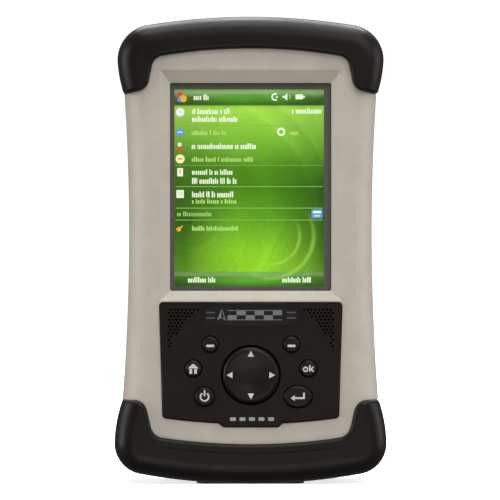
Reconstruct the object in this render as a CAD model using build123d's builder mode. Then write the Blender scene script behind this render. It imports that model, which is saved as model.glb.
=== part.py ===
from build123d import *
from math import asin, cos, degrees, hypot, radians, sin
import os

# A rugged hand-held data collector, standing on the foot of its battery boot.
#
# Frame: millimetres, +X to the user's right, +Y away from the user, +Z up.
# The origin is the centre of the foot face, on the mid-plane of the two boots.
# "Front" is the distance in front of that mid-plane: a face at front 20 has y = -20.

os.makedirs("parts", exist_ok=True)

# ---------------------------------------------------------------- driving dimensions
TOTAL_HEIGHT = 165.0
BOOT_FRONT, BOOT_BACK = 22.5, -22.5
BODY_FRONT, BODY_BACK = 20.0, -19.0
PARTING = 3.0  # the front and rear housings meet here
FIT = 0.15  # gap between a boot and the housing it slides over
SEAL_OUTER, SEAL_INNER = 0.6, 1.6  # how far inside the core's outline the seal runs
HAIRLINE = 0.1  # seam between a boot's edge and the housing
SEAM_CHAMFER = 0.25  # on both housings, where they meet along the sides
WAIST = 43.0  # half the width of the body at its narrowest
BODY_FILLET, BOOT_FILLET, LIP_FILLET, RIDGE_FILLET = 9.0, 7.0, 1.4, 1.5
CROWN_CORNER = 12.5
FOOT_HALF_WIDTH, FOOT_FRONT, FOOT_BACK = 19.0, 15.0, -18.5

# The core is the narrower part of the housing that both boots slide over.
CORE_HALF_WIDTH, CORE_BOTTOM, CORE_TOP = 42.0, 8.0, 148.0
CORE_FRONT, CORE_BACK, CORE_CORNER, CORE_FILLET = 17.3, -16.3, 8.0, 6.0
WALL = 2.2
CAVITY_FRONT, CAVITY_BACK = 15.4, -14.1
STEP_Z, STEP_FRONT = 48.5, -1.0  # behind this step the boot holds the battery

# Screen
SCREEN_HALF_WIDTH, SCREEN_BOTTOM, SCREEN_TOP = 28.5, 68.2, 141.6
DISH_HALF_WIDTH, DISH_BOTTOM, DISH_TOP = 32.0, 64.9, 146.4
DISH_FLOOR = 17.4  # front of the lip around the screen
DISPLAY_X = -0.5  # the lit area sits a little left of its window
DISPLAY_HALF_WIDTH, DISPLAY_BOTTOM, DISPLAY_TOP = 26.4, 69.7, 139.3
TRAY_HALF_WIDTH, TRAY_BOTTOM, TRAY_TOP, TRAY_BACK, TRAY_WALL = 31.6, 65.0, 144.2, 10.4, 0.4

# Keypad
PLATE_FRONT, PLATE_BACK = 20.9, 18.2
PLATE_LEDGE = 1.8
PAD_X, PAD_Z = 0.0, 38.6
PAD_RADIUS, PAD_GAP, PAD_PIVOT_FRONT = 10.2, 0.45, 17.1
KEY_GAP, KEY_FLANGE = 0.3, 0.7
KEY_FRONT, KEY_STEM_BACK = 21.5, 16.55
MEMBRANE_FRONT = 16.4
KEY_BOARD_FRONT, KEY_BOARD_BACK = 15.4, 14.2
DOME_RADIUS, DOME_HEIGHT = 2.2, 0.5
PAD_SWITCH_RADIUS = 7.5
# name: (x, z, half width, half height)
KEYS = {
    "left_soft_key": (-14.3, 49.4, 2.9, 2.9),
    "right_soft_key": (14.3, 49.4, 2.9, 2.9),
    "menu_key": (-20.3, 40.9, 3.0, 3.0),
    "ok_key": (20.3, 40.9, 3.0, 3.0),
    "power_key": (-16.3, 31.0, 3.4, 3.4),
    "enter_key": (16.6, 31.0, 5.0, 3.9),
}
GRILLE_RADIUS, GRILLE_PITCH, GRILLE_ARC_Z, GRILLE_ARC_RADIUS = 0.42, 1.35, 36.0, 30.4
SOUND_X, SOUND_Z = 25.6, 55.6  # loudspeaker on the left, microphone on the right
BADGE_WIDTH, BADGE_LOW, BADGE_HIGH = 32.5, 56.0, 62.4

# Boards inside
BOARD_HALF_WIDTH, BOARD_BOTTOM, BOARD_TOP, BOARD_FRONT, BOARD_BACK = 31.5, 52.0, 144.0, 8.0, 6.4

# Card bay: two card slots behind the main board, open at the top
CARD_WIDTH, CARD_THICKNESS, CARD_DEPTH = 43.4, 5.4, 34.0
BAY_FRONT, BAY_WALL, BAY_WEB, BAY_FLOOR, BAY_TOP = 1.6, 1.2, 1.6, 2.0, 155.5
BAY_THICKNESS = 2 * (CARD_THICKNESS + BAY_WALL) + BAY_WEB
CONTACT_PITCH, CONTACT_SIZE, CONTACT_LENGTH, CONTACTS_PER_ROW = 2.54, 0.6, 5.0, 12

# Top cap
CAP_HALF_WIDTH, CAP_FRONT, CAP_BACK, CAP_ROOF, CAP_WALL = 34.0, 13.0, -17.0, 159.5, 1.6
TOP_SCREW_X, TOP_SCREW_Y = 29.0, 4.0

# Battery boot
CASE_HALF_WIDTH, CASE_FRONT, CASE_BACK, CASE_BOTTOM, CASE_TOP = 39.5, 15.8, -20.8, 5.2, 47.0
CASE_WALL, CASE_CORNER, CASE_FILLET = 1.2, 9.0, 5.0
CASE_FLOOR = CORE_BOTTOM - FIT - CASE_BOTTOM
LID_Y = -STEP_FRONT + FIT
CELL_RADIUS, CELL_LENGTH, CELL_Y = 8.5, 67.0, 11.05
CELL_HEIGHTS = (19.6, 36.8)
PORT_Y, JACK_X, USB_X, JACK_BORE, PORT_BOARD_Z = 10.0, -26.0, 26.0, 2.75, 9.3
JACKSCREW_SPACING, JACKSCREW_BORE = 24.99, 1.42
BOTTOM_SCREW_X, BOTTOM_SCREW_Y = 27.0, -8.0
DOCK_HALF_WIDTH, DOCK_FRONT, DOCK_BACK, DOCK_TOP = 12.0, 12.0, 4.0, 14.0

# Screws that hold the two housings together
HOUSING_SCREWS = [(side * 35.5, z) for side in (-1, 1) for z in (60, 93, 127)]
PILLAR_RADIUS, SEAT_FRONT = 3.2, -16.4  # the heads sit in the rear housing at this front

top_screws = [(side * TOP_SCREW_X, TOP_SCREW_Y) for side in (-1, 1)]
bottom_screws = [(side * BOTTOM_SCREW_X, BOTTOM_SCREW_Y) for side in (-1, 1)]
CAPTIVE_HEAD, CAPTIVE_SHANK, CAPTIVE_HOLE, CAPTIVE_WELL = 2.75, 1.75, 1.95, 3.3

# Hand strap and stylus on the back
STRAP_Z, STRAP_HALF_SPAN, STRAP_RADIUS, STRAP_AXIS_Y = 93.0, 35.0, 97.5, -64.0
WEBBING, STRAP_HALF_WIDTH, PAD_HALF_WIDTH, PAD_THICKNESS = 1.6, 12.5, 17.8, 4.0
STRAP_ANGLE, PAD_ANGLE = degrees(asin(STRAP_HALF_SPAN / STRAP_RADIUS)), 15.0
PIN_Y, PIN_RADIUS = 24.5, 1.5
LUG_IN, LUG_OUT = 14.5, 17.0
STYLUS_X, STYLUS_Y, STYLUS_RADIUS, STYLUS_BOTTOM, STYLUS_TOP = 22.6, 29.5, 3.0, 52.0, 150.0
TIP_ROOT = STYLUS_BOTTOM + 6  # where the stylus tip meets its barrel
STYLUS_LOOPS = (78.0, 108.0)
LOOP_BORE, LOOP_OUTER, LOOP_HEIGHT = 3.3, 4.3, 9.0


def save(piece, label):
    """Names a finished piece and writes its STEP file."""
    piece.part.label = label
    export_step(piece.part, f"parts/{label}.step")


def facing(front):
    """Sketch plane facing the user, with local x along X and local y along Z."""
    return Plane.XZ.offset(front)


def lengthwise(part, tolerance=0.01):
    """Edges of a front-view extrusion that do not run along Y."""
    return part.edges().filter_by(lambda e: abs(e.tangent_at(0.5).Y) < tolerance)


def parting_edges(housing):
    """The long outer edges of a housing along the parting plane."""
    return housing.edges().filter_by(
        lambda e: abs(e.center().Y + PARTING) < 0.01 and abs(e.center().X) > 42.2 and e.length > 50
    )


# ---------------------------------------------------------------- front-view outlines
def body_outline():
    """The waisted body between the boots."""
    with BuildSketch() as outline:
        with BuildLine():
            right = ThreePointArc((47.2, 10), (WAIST, 88), (45.9, 154))
            left = ThreePointArc((-47.2, 10), (-WAIST, 88), (-45.9, 154))
            Line(left @ 0, right @ 0)
            Line(left @ 1, right @ 1)
        make_face()
    return outline.sketch


def core_outline(inset):
    """The core from the front, made smaller all round by the inset."""
    with BuildSketch() as outline:
        with Locations((0, (CORE_TOP + CORE_BOTTOM) / 2)):
            RectangleRounded(
                2 * (CORE_HALF_WIDTH - inset),
                CORE_TOP - CORE_BOTTOM - 2 * inset,
                CORE_CORNER - inset,
            )
    return outline.sketch


def top_zone(gap=0.0):
    """Everything above the edge where the top boot meets the housing."""
    with BuildSketch() as zone:
        with BuildLine():
            crown = ThreePointArc((-34.1, 150.5), (0, 153.6), (34.1, 150.5))
            Polyline(crown @ 1, (36.4, 139.4), (60, 133.6), (60, 190))
            Polyline(crown @ 0, (-36.4, 139.4), (-60, 133.6), (-60, 190), (60, 190))
        make_face()
        fillet(zone.vertices().filter_by(lambda v: abs(v.X) < 40), 4.4)
        if gap:
            offset(amount=-gap, mode=Mode.REPLACE)
    return zone.sketch


def bottom_zone(gap=0.0):
    """Everything below the edge where the battery boot meets the front housing."""
    with BuildSketch() as zone:
        with BuildLine():
            crown = ThreePointArc((-34.4, 17.0), (0, 14.2), (34.4, 17.0))
            Polyline(crown @ 1, (37.4, 29.8), (60, 29.8), (60, -30))
            Polyline(crown @ 0, (-37.4, 29.8), (-60, 29.8), (-60, -30), (60, -30))
        make_face()
        fillet(zone.vertices().filter_by(lambda v: abs(v.X) < 40), 4.8)
        if gap:
            offset(amount=-gap, mode=Mode.REPLACE)
    return zone.sketch


def step_zone(gap=0.0):
    """Side view, with local x along Y, of the space behind the step."""
    near = -STEP_FRONT + gap
    with BuildSketch() as zone:
        with BuildLine():
            Polyline((near, -30), (near, STEP_Z - gap), (40, STEP_Z - gap), (40, -30), close=True)
        make_face()
    return zone.sketch


def top_silhouette():
    with BuildSketch() as outline:
        with BuildLine():
            crown = ThreePointArc((-46.4, 160.2), (0, TOTAL_HEIGHT), (46.4, 160.2))
            right = ThreePointArc(crown @ 1, (47.0, 149), (44.6, 137))
            left = ThreePointArc(crown @ 0, (-47.0, 149), (-44.6, 137))
            Polyline(right @ 1, (43.8, 128), (-43.8, 128), left @ 1)
        make_face()
        fillet(outline.vertices().filter_by(lambda v: v.Y > 155), CROWN_CORNER)
    return outline.sketch


def bottom_silhouette():
    with BuildSketch() as outline:
        with BuildLine():
            keel = ThreePointArc((-47.4, 5.1), (0, 0), (47.4, 5.1))
            right = ThreePointArc(keel @ 1, (48.0, 17), (45.2, 30))
            left = ThreePointArc(keel @ 0, (-48.0, 17), (-45.2, 30))
            Polyline(right @ 1, (42.9, 60), (-42.9, 60), left @ 1)
        make_face()
        fillet(outline.vertices().filter_by(lambda v: v.Y < 8), 11)
        fillet(outline.vertices().filter_by(lambda v: 28 < v.Y < 32), 12)
    return outline.sketch


def keypad_outline(inset=0.0):
    """The keypad plate: slightly tapered, with an arched foot and a tab."""
    with BuildSketch() as outline:
        with BuildLine():
            foot_right = ThreePointArc((11.3, 21.6), (21.0, 22.3), (31.1, 23.5))
            foot_left = ThreePointArc((-11.3, 21.6), (-21.0, 22.3), (-31.1, 23.5))
            Polyline(foot_right @ 0, (9.6, 20.2), (-9.6, 20.2), foot_left @ 0)
            Polyline(foot_right @ 1, (32.3, 64.3), (-32.3, 64.3), foot_left @ 1)
        make_face()
        fillet(outline.vertices().filter_by(lambda v: abs(v.X) > 30), 1.5)
        if inset:
            offset(amount=-inset, kind=Kind.INTERSECTION, mode=Mode.REPLACE)
    return outline.sketch


def mouth_edges(faces):
    """Edges of a boot's inner faces, without the corners that run from front to back."""
    edges = ShapeList()
    for face in faces:
        for edge in face.edges():
            runs_back = edge.geom_type == GeomType.LINE and abs(edge.tangent_at(0.5).Y) > 0.99
            if not runs_back and not any(edge.is_same(other) for other in edges):
                edges.append(edge)
    return edges


def rounded_window(half_width, low, high, radius, centre_x=0.0):
    with BuildSketch() as outline:
        with Locations((centre_x, (low + high) / 2)):
            RectangleRounded(2 * half_width, high - low, radius)
    return outline.sketch


def rectangle(left, right, low, high):
    with BuildSketch() as outline:
        with Locations(((left + right) / 2, (low + high) / 2)):
            Rectangle(right - left, high - low)
    return outline.sketch


def discs(places, radius):
    with BuildSketch() as outline:
        with Locations(*places):
            Circle(radius)
    return outline.sketch


def d_outline(width, height):
    """The D-shaped outline of the serial port, centred on the port."""
    with BuildSketch() as outline:
        with Locations((0, PORT_Y)):
            Trapezoid(width, height, 80)
        fillet(outline.vertices(), 2)
    return outline.sketch


def grille_places(side):
    """Hole centres of one grille: a triangular pattern outside the keypad's arc."""
    places = []
    for row in range(14):
        z = 61.6 - row * GRILLE_PITCH * sin(radians(60))
        for column in range(24):
            x = 12.0 + (column + 0.5 * (row % 2)) * GRILLE_PITCH
            if hypot(x, z - GRILLE_ARC_Z) > GRILLE_ARC_RADIUS + 1.0 and x < 29.2:
                places.append((side * x, z))
    return places


def grille_corners(radius, inset):
    """The two upper corners of the keypad plate, outside an arc of the given radius."""
    with BuildSketch() as corners:
        add(keypad_outline(inset))
        with Locations((0, GRILLE_ARC_Z)):
            Circle(radius, mode=Mode.SUBTRACT)
        add(rectangle(-40, 40, 43, 70), mode=Mode.INTERSECT)
    return corners.sketch


def key_shape(name, grow=0.0):
    """Front-view outline of one key, grown all round."""
    x, z, half_width, half_height = KEYS[name]
    with BuildSketch() as outline:
        with Locations((x, z)):
            Ellipse(half_width + grow, half_height + grow)
    return outline.sketch


# ---------------------------------------------------------------- shared solids
with BuildPart() as core:
    with BuildSketch(facing(CORE_BACK)):
        add(core_outline(0))
    extrude(amount=CORE_FRONT - CORE_BACK)
    fillet(lengthwise(core), CORE_FILLET)
    with BuildSketch(Plane.YZ):
        add(step_zone())
    extrude(amount=60, both=True, mode=Mode.SUBTRACT)

with BuildPart() as core_space:  # what the boots leave free for the core
    with BuildSketch(facing(CORE_BACK - FIT)):
        add(core_outline(-FIT))
    extrude(amount=CORE_FRONT - CORE_BACK + 2 * FIT)
    fillet(lengthwise(core_space), CORE_FILLET)
    with BuildSketch(Plane.YZ):
        add(step_zone(gap=FIT))
    extrude(amount=60, both=True, mode=Mode.SUBTRACT)

with BuildPart() as cavity:
    with BuildSketch(facing(CAVITY_BACK)):
        add(core_outline(WALL))
    extrude(amount=CAVITY_FRONT - CAVITY_BACK)
    fillet(lengthwise(cavity), 1.5)
    with BuildSketch(facing(CAVITY_BACK)):
        Rectangle(120, 2 * (STEP_Z + WALL))
    extrude(amount=STEP_FRONT + WALL - CAVITY_BACK, mode=Mode.SUBTRACT)

with BuildPart() as shell:
    with BuildSketch(facing(BODY_BACK)):
        add(body_outline())
    extrude(amount=BODY_FRONT - BODY_BACK)
    fillet(lengthwise(shell).filter_by(lambda e: e.length > 100), BODY_FILLET)
    with BuildSketch(facing(BODY_BACK - 1)):
        add(top_zone())
        add(bottom_zone())
    extrude(amount=BODY_FRONT - BODY_BACK + 2, mode=Mode.SUBTRACT)
    with BuildSketch(Plane.YZ):
        add(step_zone())
    extrude(amount=60, both=True, mode=Mode.SUBTRACT)
    add(core.part)
    add(cavity.part, mode=Mode.SUBTRACT)

# ---------------------------------------------------------------- front housing
with BuildPart() as front_housing:
    add(shell.part)
    split(bisect_by=facing(PARTING), keep=Keep.TOP)
    chamfer(parting_edges(front_housing), SEAM_CHAMFER)
    # the dish around the screen slopes in to the window
    with BuildSketch(facing(BODY_FRONT + 0.5)):
        slope = (DISH_HALF_WIDTH - SCREEN_HALF_WIDTH) / (BODY_FRONT - DISH_FLOOR)
        add(rectangle(-DISH_HALF_WIDTH, DISH_HALF_WIDTH, DISH_BOTTOM, DISH_TOP))
        offset(amount=0.5 * slope, kind=Kind.INTERSECTION, mode=Mode.REPLACE)
    with BuildSketch(facing(DISH_FLOOR)):
        add(rectangle(-SCREEN_HALF_WIDTH, SCREEN_HALF_WIDTH, SCREEN_BOTTOM, SCREEN_TOP))
    loft(mode=Mode.SUBTRACT)
    ridge = front_housing.edges().filter_by(
        lambda e: abs(e.center().Y + BODY_FRONT) < 0.01
        and DISH_BOTTOM - 1 < e.center().Z < DISH_TOP + 1
        and abs(e.center().X) < DISH_HALF_WIDTH + 1
    )
    fillet(ridge, RIDGE_FILLET)
    with BuildSketch(facing(CAVITY_FRONT - 1)):
        add(rounded_window(SCREEN_HALF_WIDTH, SCREEN_BOTTOM, SCREEN_TOP, 0.8))
    extrude(amount=DISH_FLOOR + 0.5 - CAVITY_FRONT + 1, mode=Mode.SUBTRACT)
    # the keypad plate sits on a ledge in its pocket
    with BuildSketch(facing(PLATE_BACK)):
        add(keypad_outline(-HAIRLINE))
    extrude(amount=5, mode=Mode.SUBTRACT)
    with BuildSketch(facing(CAVITY_FRONT - 1)):
        add(keypad_outline(PLATE_LEDGE))
    extrude(amount=5, mode=Mode.SUBTRACT)
    # pillars for the housing screws
    with BuildSketch(facing(PARTING)):
        add(discs(HOUSING_SCREWS, PILLAR_RADIUS))
        add(discs(HOUSING_SCREWS, 1.25), mode=Mode.SUBTRACT)
    extrude(amount=CAVITY_FRONT - PARTING)
    # bosses for the battery boot's screws
    with BuildSketch(Plane.XY.offset(CORE_BOTTOM + WALL - 0.2)):
        add(discs(bottom_screws, 3.8))
    extrude(amount=9.8)
    with BuildSketch(Plane.XY.offset(CORE_BOTTOM - 1)):
        add(discs(bottom_screws, CAPTIVE_HOLE))
    extrude(amount=11.5, mode=Mode.SUBTRACT)
    # opening for the dock connector and groove for the seal
    with BuildSketch(Plane.XY.offset(CORE_BOTTOM - 1)):
        add(rectangle(-DOCK_HALF_WIDTH - FIT, DOCK_HALF_WIDTH + FIT, -DOCK_FRONT - FIT, -DOCK_BACK + FIT))
    extrude(amount=5, mode=Mode.SUBTRACT)
    with BuildSketch(facing(PARTING)):
        add(core_outline(SEAL_OUTER))
        add(core_outline(SEAL_INNER), mode=Mode.SUBTRACT)
    extrude(amount=0.5, mode=Mode.SUBTRACT)
save(front_housing, "front_housing")

# ---------------------------------------------------------------- rear housing
with BuildPart() as rear_housing:
    add(shell.part)
    split(bisect_by=facing(PARTING), keep=Keep.BOTTOM)
    chamfer(parting_edges(rear_housing), SEAM_CHAMFER)
    with BuildSketch(facing(PARTING)):
        add(core_outline(SEAL_OUTER))
        add(core_outline(SEAL_INNER), mode=Mode.SUBTRACT)
    extrude(amount=-0.5, mode=Mode.SUBTRACT)
    with BuildSketch(facing(PARTING)):
        add(discs(HOUSING_SCREWS, PILLAR_RADIUS))
    extrude(amount=CAVITY_BACK - PARTING)
    with BuildSketch(facing(PARTING)):
        add(discs(HOUSING_SCREWS, 1.35))
    extrude(amount=-30, mode=Mode.SUBTRACT)
    with BuildSketch(facing(SEAT_FRONT)):
        add(discs(HOUSING_SCREWS, 2.6))
    extrude(amount=-5, mode=Mode.SUBTRACT)
    # bosses for the top cap's screws
    with BuildSketch(Plane.XY.offset(137)):
        add(discs(top_screws, 4.0))
    extrude(amount=CORE_TOP - WALL - 137 + 0.2)
    with BuildSketch(Plane.XY.offset(139)):
        add(discs(top_screws, CAPTIVE_HOLE))
    extrude(amount=30, mode=Mode.SUBTRACT)
    # opening for the neck of the card bay
    with BuildSketch(Plane.XY.offset(CORE_TOP - 10)):
        add(
            rectangle(
                -CARD_WIDTH / 2 - BAY_WALL - FIT,
                CARD_WIDTH / 2 + BAY_WALL + FIT,
                -BAY_FRONT - FIT,
                -BAY_FRONT + BAY_THICKNESS + FIT,
            )
        )
    extrude(amount=30, mode=Mode.SUBTRACT)
    # holes for the strap bracket screws and the vent
    with BuildSketch(facing(BODY_BACK - 1)):
        for z in (STRAP_Z - STRAP_HALF_SPAN, STRAP_Z + STRAP_HALF_SPAN):
            add(discs([(-19.5, z), (19.5, z)], 1.15))
    extrude(amount=5, mode=Mode.SUBTRACT)
    with BuildSketch(facing(BODY_BACK + 1)):
        add(discs([(0, 70)], 2.6))
    extrude(amount=-2, mode=Mode.SUBTRACT)
save(rear_housing, "rear_housing")

# ---------------------------------------------------------------- top boot and its cap
with BuildPart() as cap_block:
    with BuildSketch(Plane.XY.offset(CAP_ROOF)):
        add(rectangle(-CAP_HALF_WIDTH, CAP_HALF_WIDTH, -CAP_FRONT, -CAP_BACK))
    extrude(amount=-15)
    fillet(cap_block.edges().filter_by(Axis.Z), 3)
    with BuildSketch(facing(BOOT_BACK)):
        add(top_zone(HAIRLINE))
    extrude(amount=BOOT_FRONT - BOOT_BACK, mode=Mode.INTERSECT)

with BuildPart() as card_cap:
    add(cap_block.part)
    with BuildSketch(Plane.XY.offset(CAP_ROOF - CAP_WALL)):
        add(
            rectangle(
                -CAP_HALF_WIDTH + CAP_WALL,
                CAP_HALF_WIDTH - CAP_WALL,
                -CAP_FRONT + CAP_WALL,
                -CAP_BACK - CAP_WALL,
            )
        )
    extrude(amount=-15, mode=Mode.SUBTRACT)
    with BuildSketch(Plane.XY.offset(CAP_ROOF + 1)):
        add(discs(top_screws, CAPTIVE_HOLE))
    extrude(amount=-5, mode=Mode.SUBTRACT)
save(card_cap, "card_cap")

with BuildPart() as top_boot:
    with BuildSketch(facing(BOOT_BACK)):
        add(top_silhouette())
    extrude(amount=BOOT_FRONT - BOOT_BACK)
    fillet(lengthwise(top_boot).filter_by(lambda e: e.center().Z > 131), BOOT_FILLET)
    with BuildSketch(facing(BOOT_BACK)):
        add(top_zone(HAIRLINE))
    extrude(amount=BOOT_FRONT - BOOT_BACK, mode=Mode.INTERSECT)
    mouth = top_boot.faces().filter_by(
        lambda f: abs(f.normal_at().Y) < 0.01
        and (f.normal_at().Z < -0.5 or abs(f.center().X) < 38 and f.center().Z < 152)
    )
    fillet(mouth_edges(mouth), LIP_FILLET)
    add(core_space.part, mode=Mode.SUBTRACT)
    add(cap_block.part, mode=Mode.SUBTRACT)
    with BuildSketch(Plane.XY.offset(CAP_ROOF)):
        add(discs(top_screws, CAPTIVE_WELL))
    extrude(amount=10, mode=Mode.SUBTRACT)
save(top_boot, "top_boot")

# ---------------------------------------------------------------- battery boot
with BuildPart() as boot_space:
    with BuildSketch(facing(BOOT_BACK)):
        add(bottom_zone(HAIRLINE))
    extrude(amount=BOOT_FRONT - BOOT_BACK)
    with BuildSketch(Plane.YZ):
        add(step_zone(HAIRLINE))
    extrude(amount=60, both=True)

with BuildPart() as case_block:
    with BuildSketch(facing(CASE_BACK)):
        add(rounded_window(CASE_HALF_WIDTH, CASE_BOTTOM, CASE_TOP, CASE_CORNER))
    extrude(amount=CASE_FRONT - CASE_BACK)
    with BuildSketch(facing(-LID_Y)):
        with Locations((0, CASE_BOTTOM + CASE_FLOOR)):
            Rectangle(120, 60, align=(Align.CENTER, Align.MIN))
    extrude(amount=20, mode=Mode.SUBTRACT)
    fillet(lengthwise(case_block).filter_by(lambda e: abs(e.center().Y + CASE_BACK) < 0.01), CASE_FILLET)

jackscrews = [(side * JACKSCREW_SPACING / 2, PORT_Y) for side in (-1, 1)]
contacts = [(-9.1 + 2.6 * i, -8.0) for i in range(8)]

with BuildPart() as bottom_boot:
    with BuildSketch(facing(BOOT_BACK)):
        add(bottom_silhouette())
    extrude(amount=BOOT_FRONT - BOOT_BACK)
    fillet(lengthwise(bottom_boot).filter_by(lambda e: e.center().Z < 59), BOOT_FILLET)
    add(boot_space.part, mode=Mode.INTERSECT)
    mouth = bottom_boot.faces().filter_by(
        lambda f: abs(f.normal_at().Y) < 0.01
        and (f.normal_at().Z > 0.5 or abs(f.center().X) < 38.5 and f.center().Z > 12)
    )
    rim = mouth_edges(mouth).filter_by(lambda e: e.center().Y < -5 or e.center().Z > STEP_Z - 1)
    fillet(rim.filter_by(lambda e: abs(e.center().Y - 1) > 0.3), LIP_FILLET)
    # flat foot
    with BuildSketch(Plane.XY):
        with Locations((0, (FOOT_BACK + FOOT_FRONT) / -2)):
            RectangleRounded(2 * FOOT_HALF_WIDTH, FOOT_FRONT - FOOT_BACK, 4)
    extrude(amount=4)
    add(core_space.part, mode=Mode.SUBTRACT)
    add(case_block.part, mode=Mode.SUBTRACT)
    # shallow groove that follows the lip
    with BuildSketch(facing(BOOT_FRONT - 0.5)):
        with Locations((0, 226.9)):
            Circle(216.1)
            Circle(215.3, mode=Mode.SUBTRACT)
        add(rectangle(-30, 30, 0, 20), mode=Mode.INTERSECT)
    extrude(amount=2, mode=Mode.SUBTRACT)
    # wells for the screws and the ports
    with BuildSketch(Plane.XY.offset(-1)):
        add(discs(bottom_screws, CAPTIVE_WELL))
        with Locations((0, PORT_Y)):
            RectangleRounded(33, 14.5, 3)
        with Locations((JACK_X, PORT_Y)):
            Circle(5.6)
        with Locations((USB_X, PORT_Y)):
            RectangleRounded(13, 9, 2)
    extrude(amount=CASE_BOTTOM + 1, mode=Mode.SUBTRACT)
save(bottom_boot, "bottom_boot")

with BuildPart() as case_hollow:
    with BuildSketch(facing(CASE_BACK + CASE_WALL)):
        add(rounded_window(CASE_HALF_WIDTH - CASE_WALL, CASE_BOTTOM + 1.5, CASE_TOP - CASE_WALL, 7.5))
    extrude(amount=-CASE_BACK - CASE_WALL)
    fillet(lengthwise(case_hollow).filter_by(lambda e: e.center().Y > 10), CASE_FILLET - CASE_WALL)

with BuildPart() as power_module_case:
    add(case_block.part)
    add(case_hollow.part, mode=Mode.SUBTRACT)
    with BuildSketch(facing(-LID_Y - CASE_WALL)):
        with Locations((0, CASE_BOTTOM + CASE_FLOOR)):
            Rectangle(120, 60, align=(Align.CENTER, Align.MIN))
    extrude(amount=20, mode=Mode.SUBTRACT)
    with BuildSketch(Plane.XY.offset(CASE_BOTTOM - 1)):
        add(discs(bottom_screws, CAPTIVE_HOLE))
        add(discs(jackscrews, 1.65))
        with Locations((0, PORT_Y)):
            RectangleRounded(17.6, 9.4, 1)
        with Locations((JACK_X, PORT_Y)):
            Circle(4.35)
        with Locations((USB_X, PORT_Y)):
            RectangleRounded(8.1, 4.3, 0.6)
    extrude(amount=5, mode=Mode.SUBTRACT)
    with BuildSketch(Plane.XY.offset(CASE_BOTTOM + CASE_FLOOR - 0.4)):
        with Locations(*contacts):
            Rectangle(1.6, 3.0)
    extrude(amount=1, mode=Mode.SUBTRACT)
save(power_module_case, "power_module_case")

with BuildPart() as power_module_lid:
    with BuildSketch(facing(-LID_Y - CASE_WALL)):
        add(rounded_window(CASE_HALF_WIDTH, CASE_BOTTOM, CASE_TOP, CASE_CORNER))
        with Locations((0, CASE_BOTTOM + CASE_FLOOR + 0.1)):
            Rectangle(120, 60, align=(Align.CENTER, Align.MIN), mode=Mode.INTERSECT)
    extrude(amount=CASE_WALL)
save(power_module_lid, "power_module_lid")

with BuildPart() as module_contacts:
    with BuildSketch(Plane.XY.offset(CASE_BOTTOM + CASE_FLOOR - 0.4)):
        with Locations(*contacts):
            Rectangle(1.5, 2.9)
    extrude(amount=0.4)
save(module_contacts, "module_contacts")

with BuildPart() as battery_cells:
    for height in CELL_HEIGHTS:
        with BuildSketch(Plane.YZ.offset(-CELL_LENGTH / 2)):
            with Locations((CELL_Y, height)):
                Circle(CELL_RADIUS)
        extrude(amount=CELL_LENGTH)
        with BuildSketch(Plane.YZ.offset(CELL_LENGTH / 2)):
            with Locations((CELL_Y, height)):
                Circle(2.6)
        extrude(amount=1.2)
save(battery_cells, "battery_cells")

with BuildPart() as port_board:
    with BuildSketch(Plane.XY.offset(PORT_BOARD_Z)):
        with Locations((0, 11)):
            Rectangle(70, 14)
    extrude(amount=1.0)
save(port_board, "port_board")

with BuildPart() as serial_port_shell:
    with BuildSketch(Plane.XY.offset(CASE_BOTTOM - 0.8)):
        with Locations((0, PORT_Y)):
            RectangleRounded(30.8, 12.5, 1.5)
        add(discs(jackscrews, 1.6), mode=Mode.SUBTRACT)
    extrude(amount=0.8)
    with BuildSketch(Plane.XY.offset(0.8)):
        add(d_outline(16.9, 8.3))
    extrude(amount=CASE_BOTTOM - 0.8)
    with BuildSketch(Plane.XY.offset(0.8)):
        add(d_outline(15.9, 7.3))
    extrude(amount=CASE_BOTTOM - 0.8, mode=Mode.SUBTRACT)
save(serial_port_shell, "serial_port_shell")

pins = [(2.77 * (i - 2), PORT_Y - 1.42) for i in range(5)]
pins += [(2.77 * (i - 1.5), PORT_Y + 1.42) for i in range(4)]
with BuildPart() as serial_port_insert:
    with BuildSketch(Plane.XY.offset(CASE_BOTTOM - 1.2)):
        add(d_outline(15.8, 7.2))
    extrude(amount=1.2)
    with BuildSketch(Plane.XY.offset(CASE_BOTTOM)):
        with Locations((0, PORT_Y)):
            Rectangle(17.0, 8.8)
    extrude(amount=PORT_BOARD_Z - CASE_BOTTOM)
    with BuildSketch(Plane.XY):
        add(discs(pins, 0.5))
    extrude(amount=20, mode=Mode.SUBTRACT)
save(serial_port_insert, "serial_port_insert")

with BuildPart() as serial_port_pins:
    with BuildSketch(Plane.XY.offset(1.4)):
        add(discs(pins, 0.5))
    extrude(amount=PORT_BOARD_Z - 1.4)
    chamfer(serial_port_pins.edges().group_by(Axis.Z)[0], 0.2)
save(serial_port_pins, "serial_port_pins")

with BuildPart() as serial_jackscrews:
    with BuildSketch(Plane.XY.offset(0.9)):
        with Locations(*jackscrews):
            RegularPolygon(2.7, 6)
    extrude(amount=CASE_BOTTOM - 0.8 - 0.9)
    with BuildSketch(Plane.XY.offset(CASE_BOTTOM - 0.8)):
        add(discs(jackscrews, 1.55))
    extrude(amount=2.5)
    with BuildSketch(Plane.XY):
        add(discs(jackscrews, JACKSCREW_BORE))
    extrude(amount=CASE_BOTTOM - 0.8, mode=Mode.SUBTRACT)
save(serial_jackscrews, "serial_jackscrews")

with BuildPart() as usb_socket:
    with BuildSketch(Plane.XY.offset(2.8)):
        with Locations((USB_X, PORT_Y)):
            RectangleRounded(7.7, 3.9, 0.8)
    extrude(amount=PORT_BOARD_Z - 2.8)
    with BuildSketch(Plane.XY.offset(2.8)):
        with Locations((USB_X, PORT_Y)):
            RectangleRounded(7.0, 3.2, 0.6)
            Rectangle(5.2, 0.8, mode=Mode.SUBTRACT)
    extrude(amount=5.4, mode=Mode.SUBTRACT)
save(usb_socket, "usb_socket")

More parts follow.
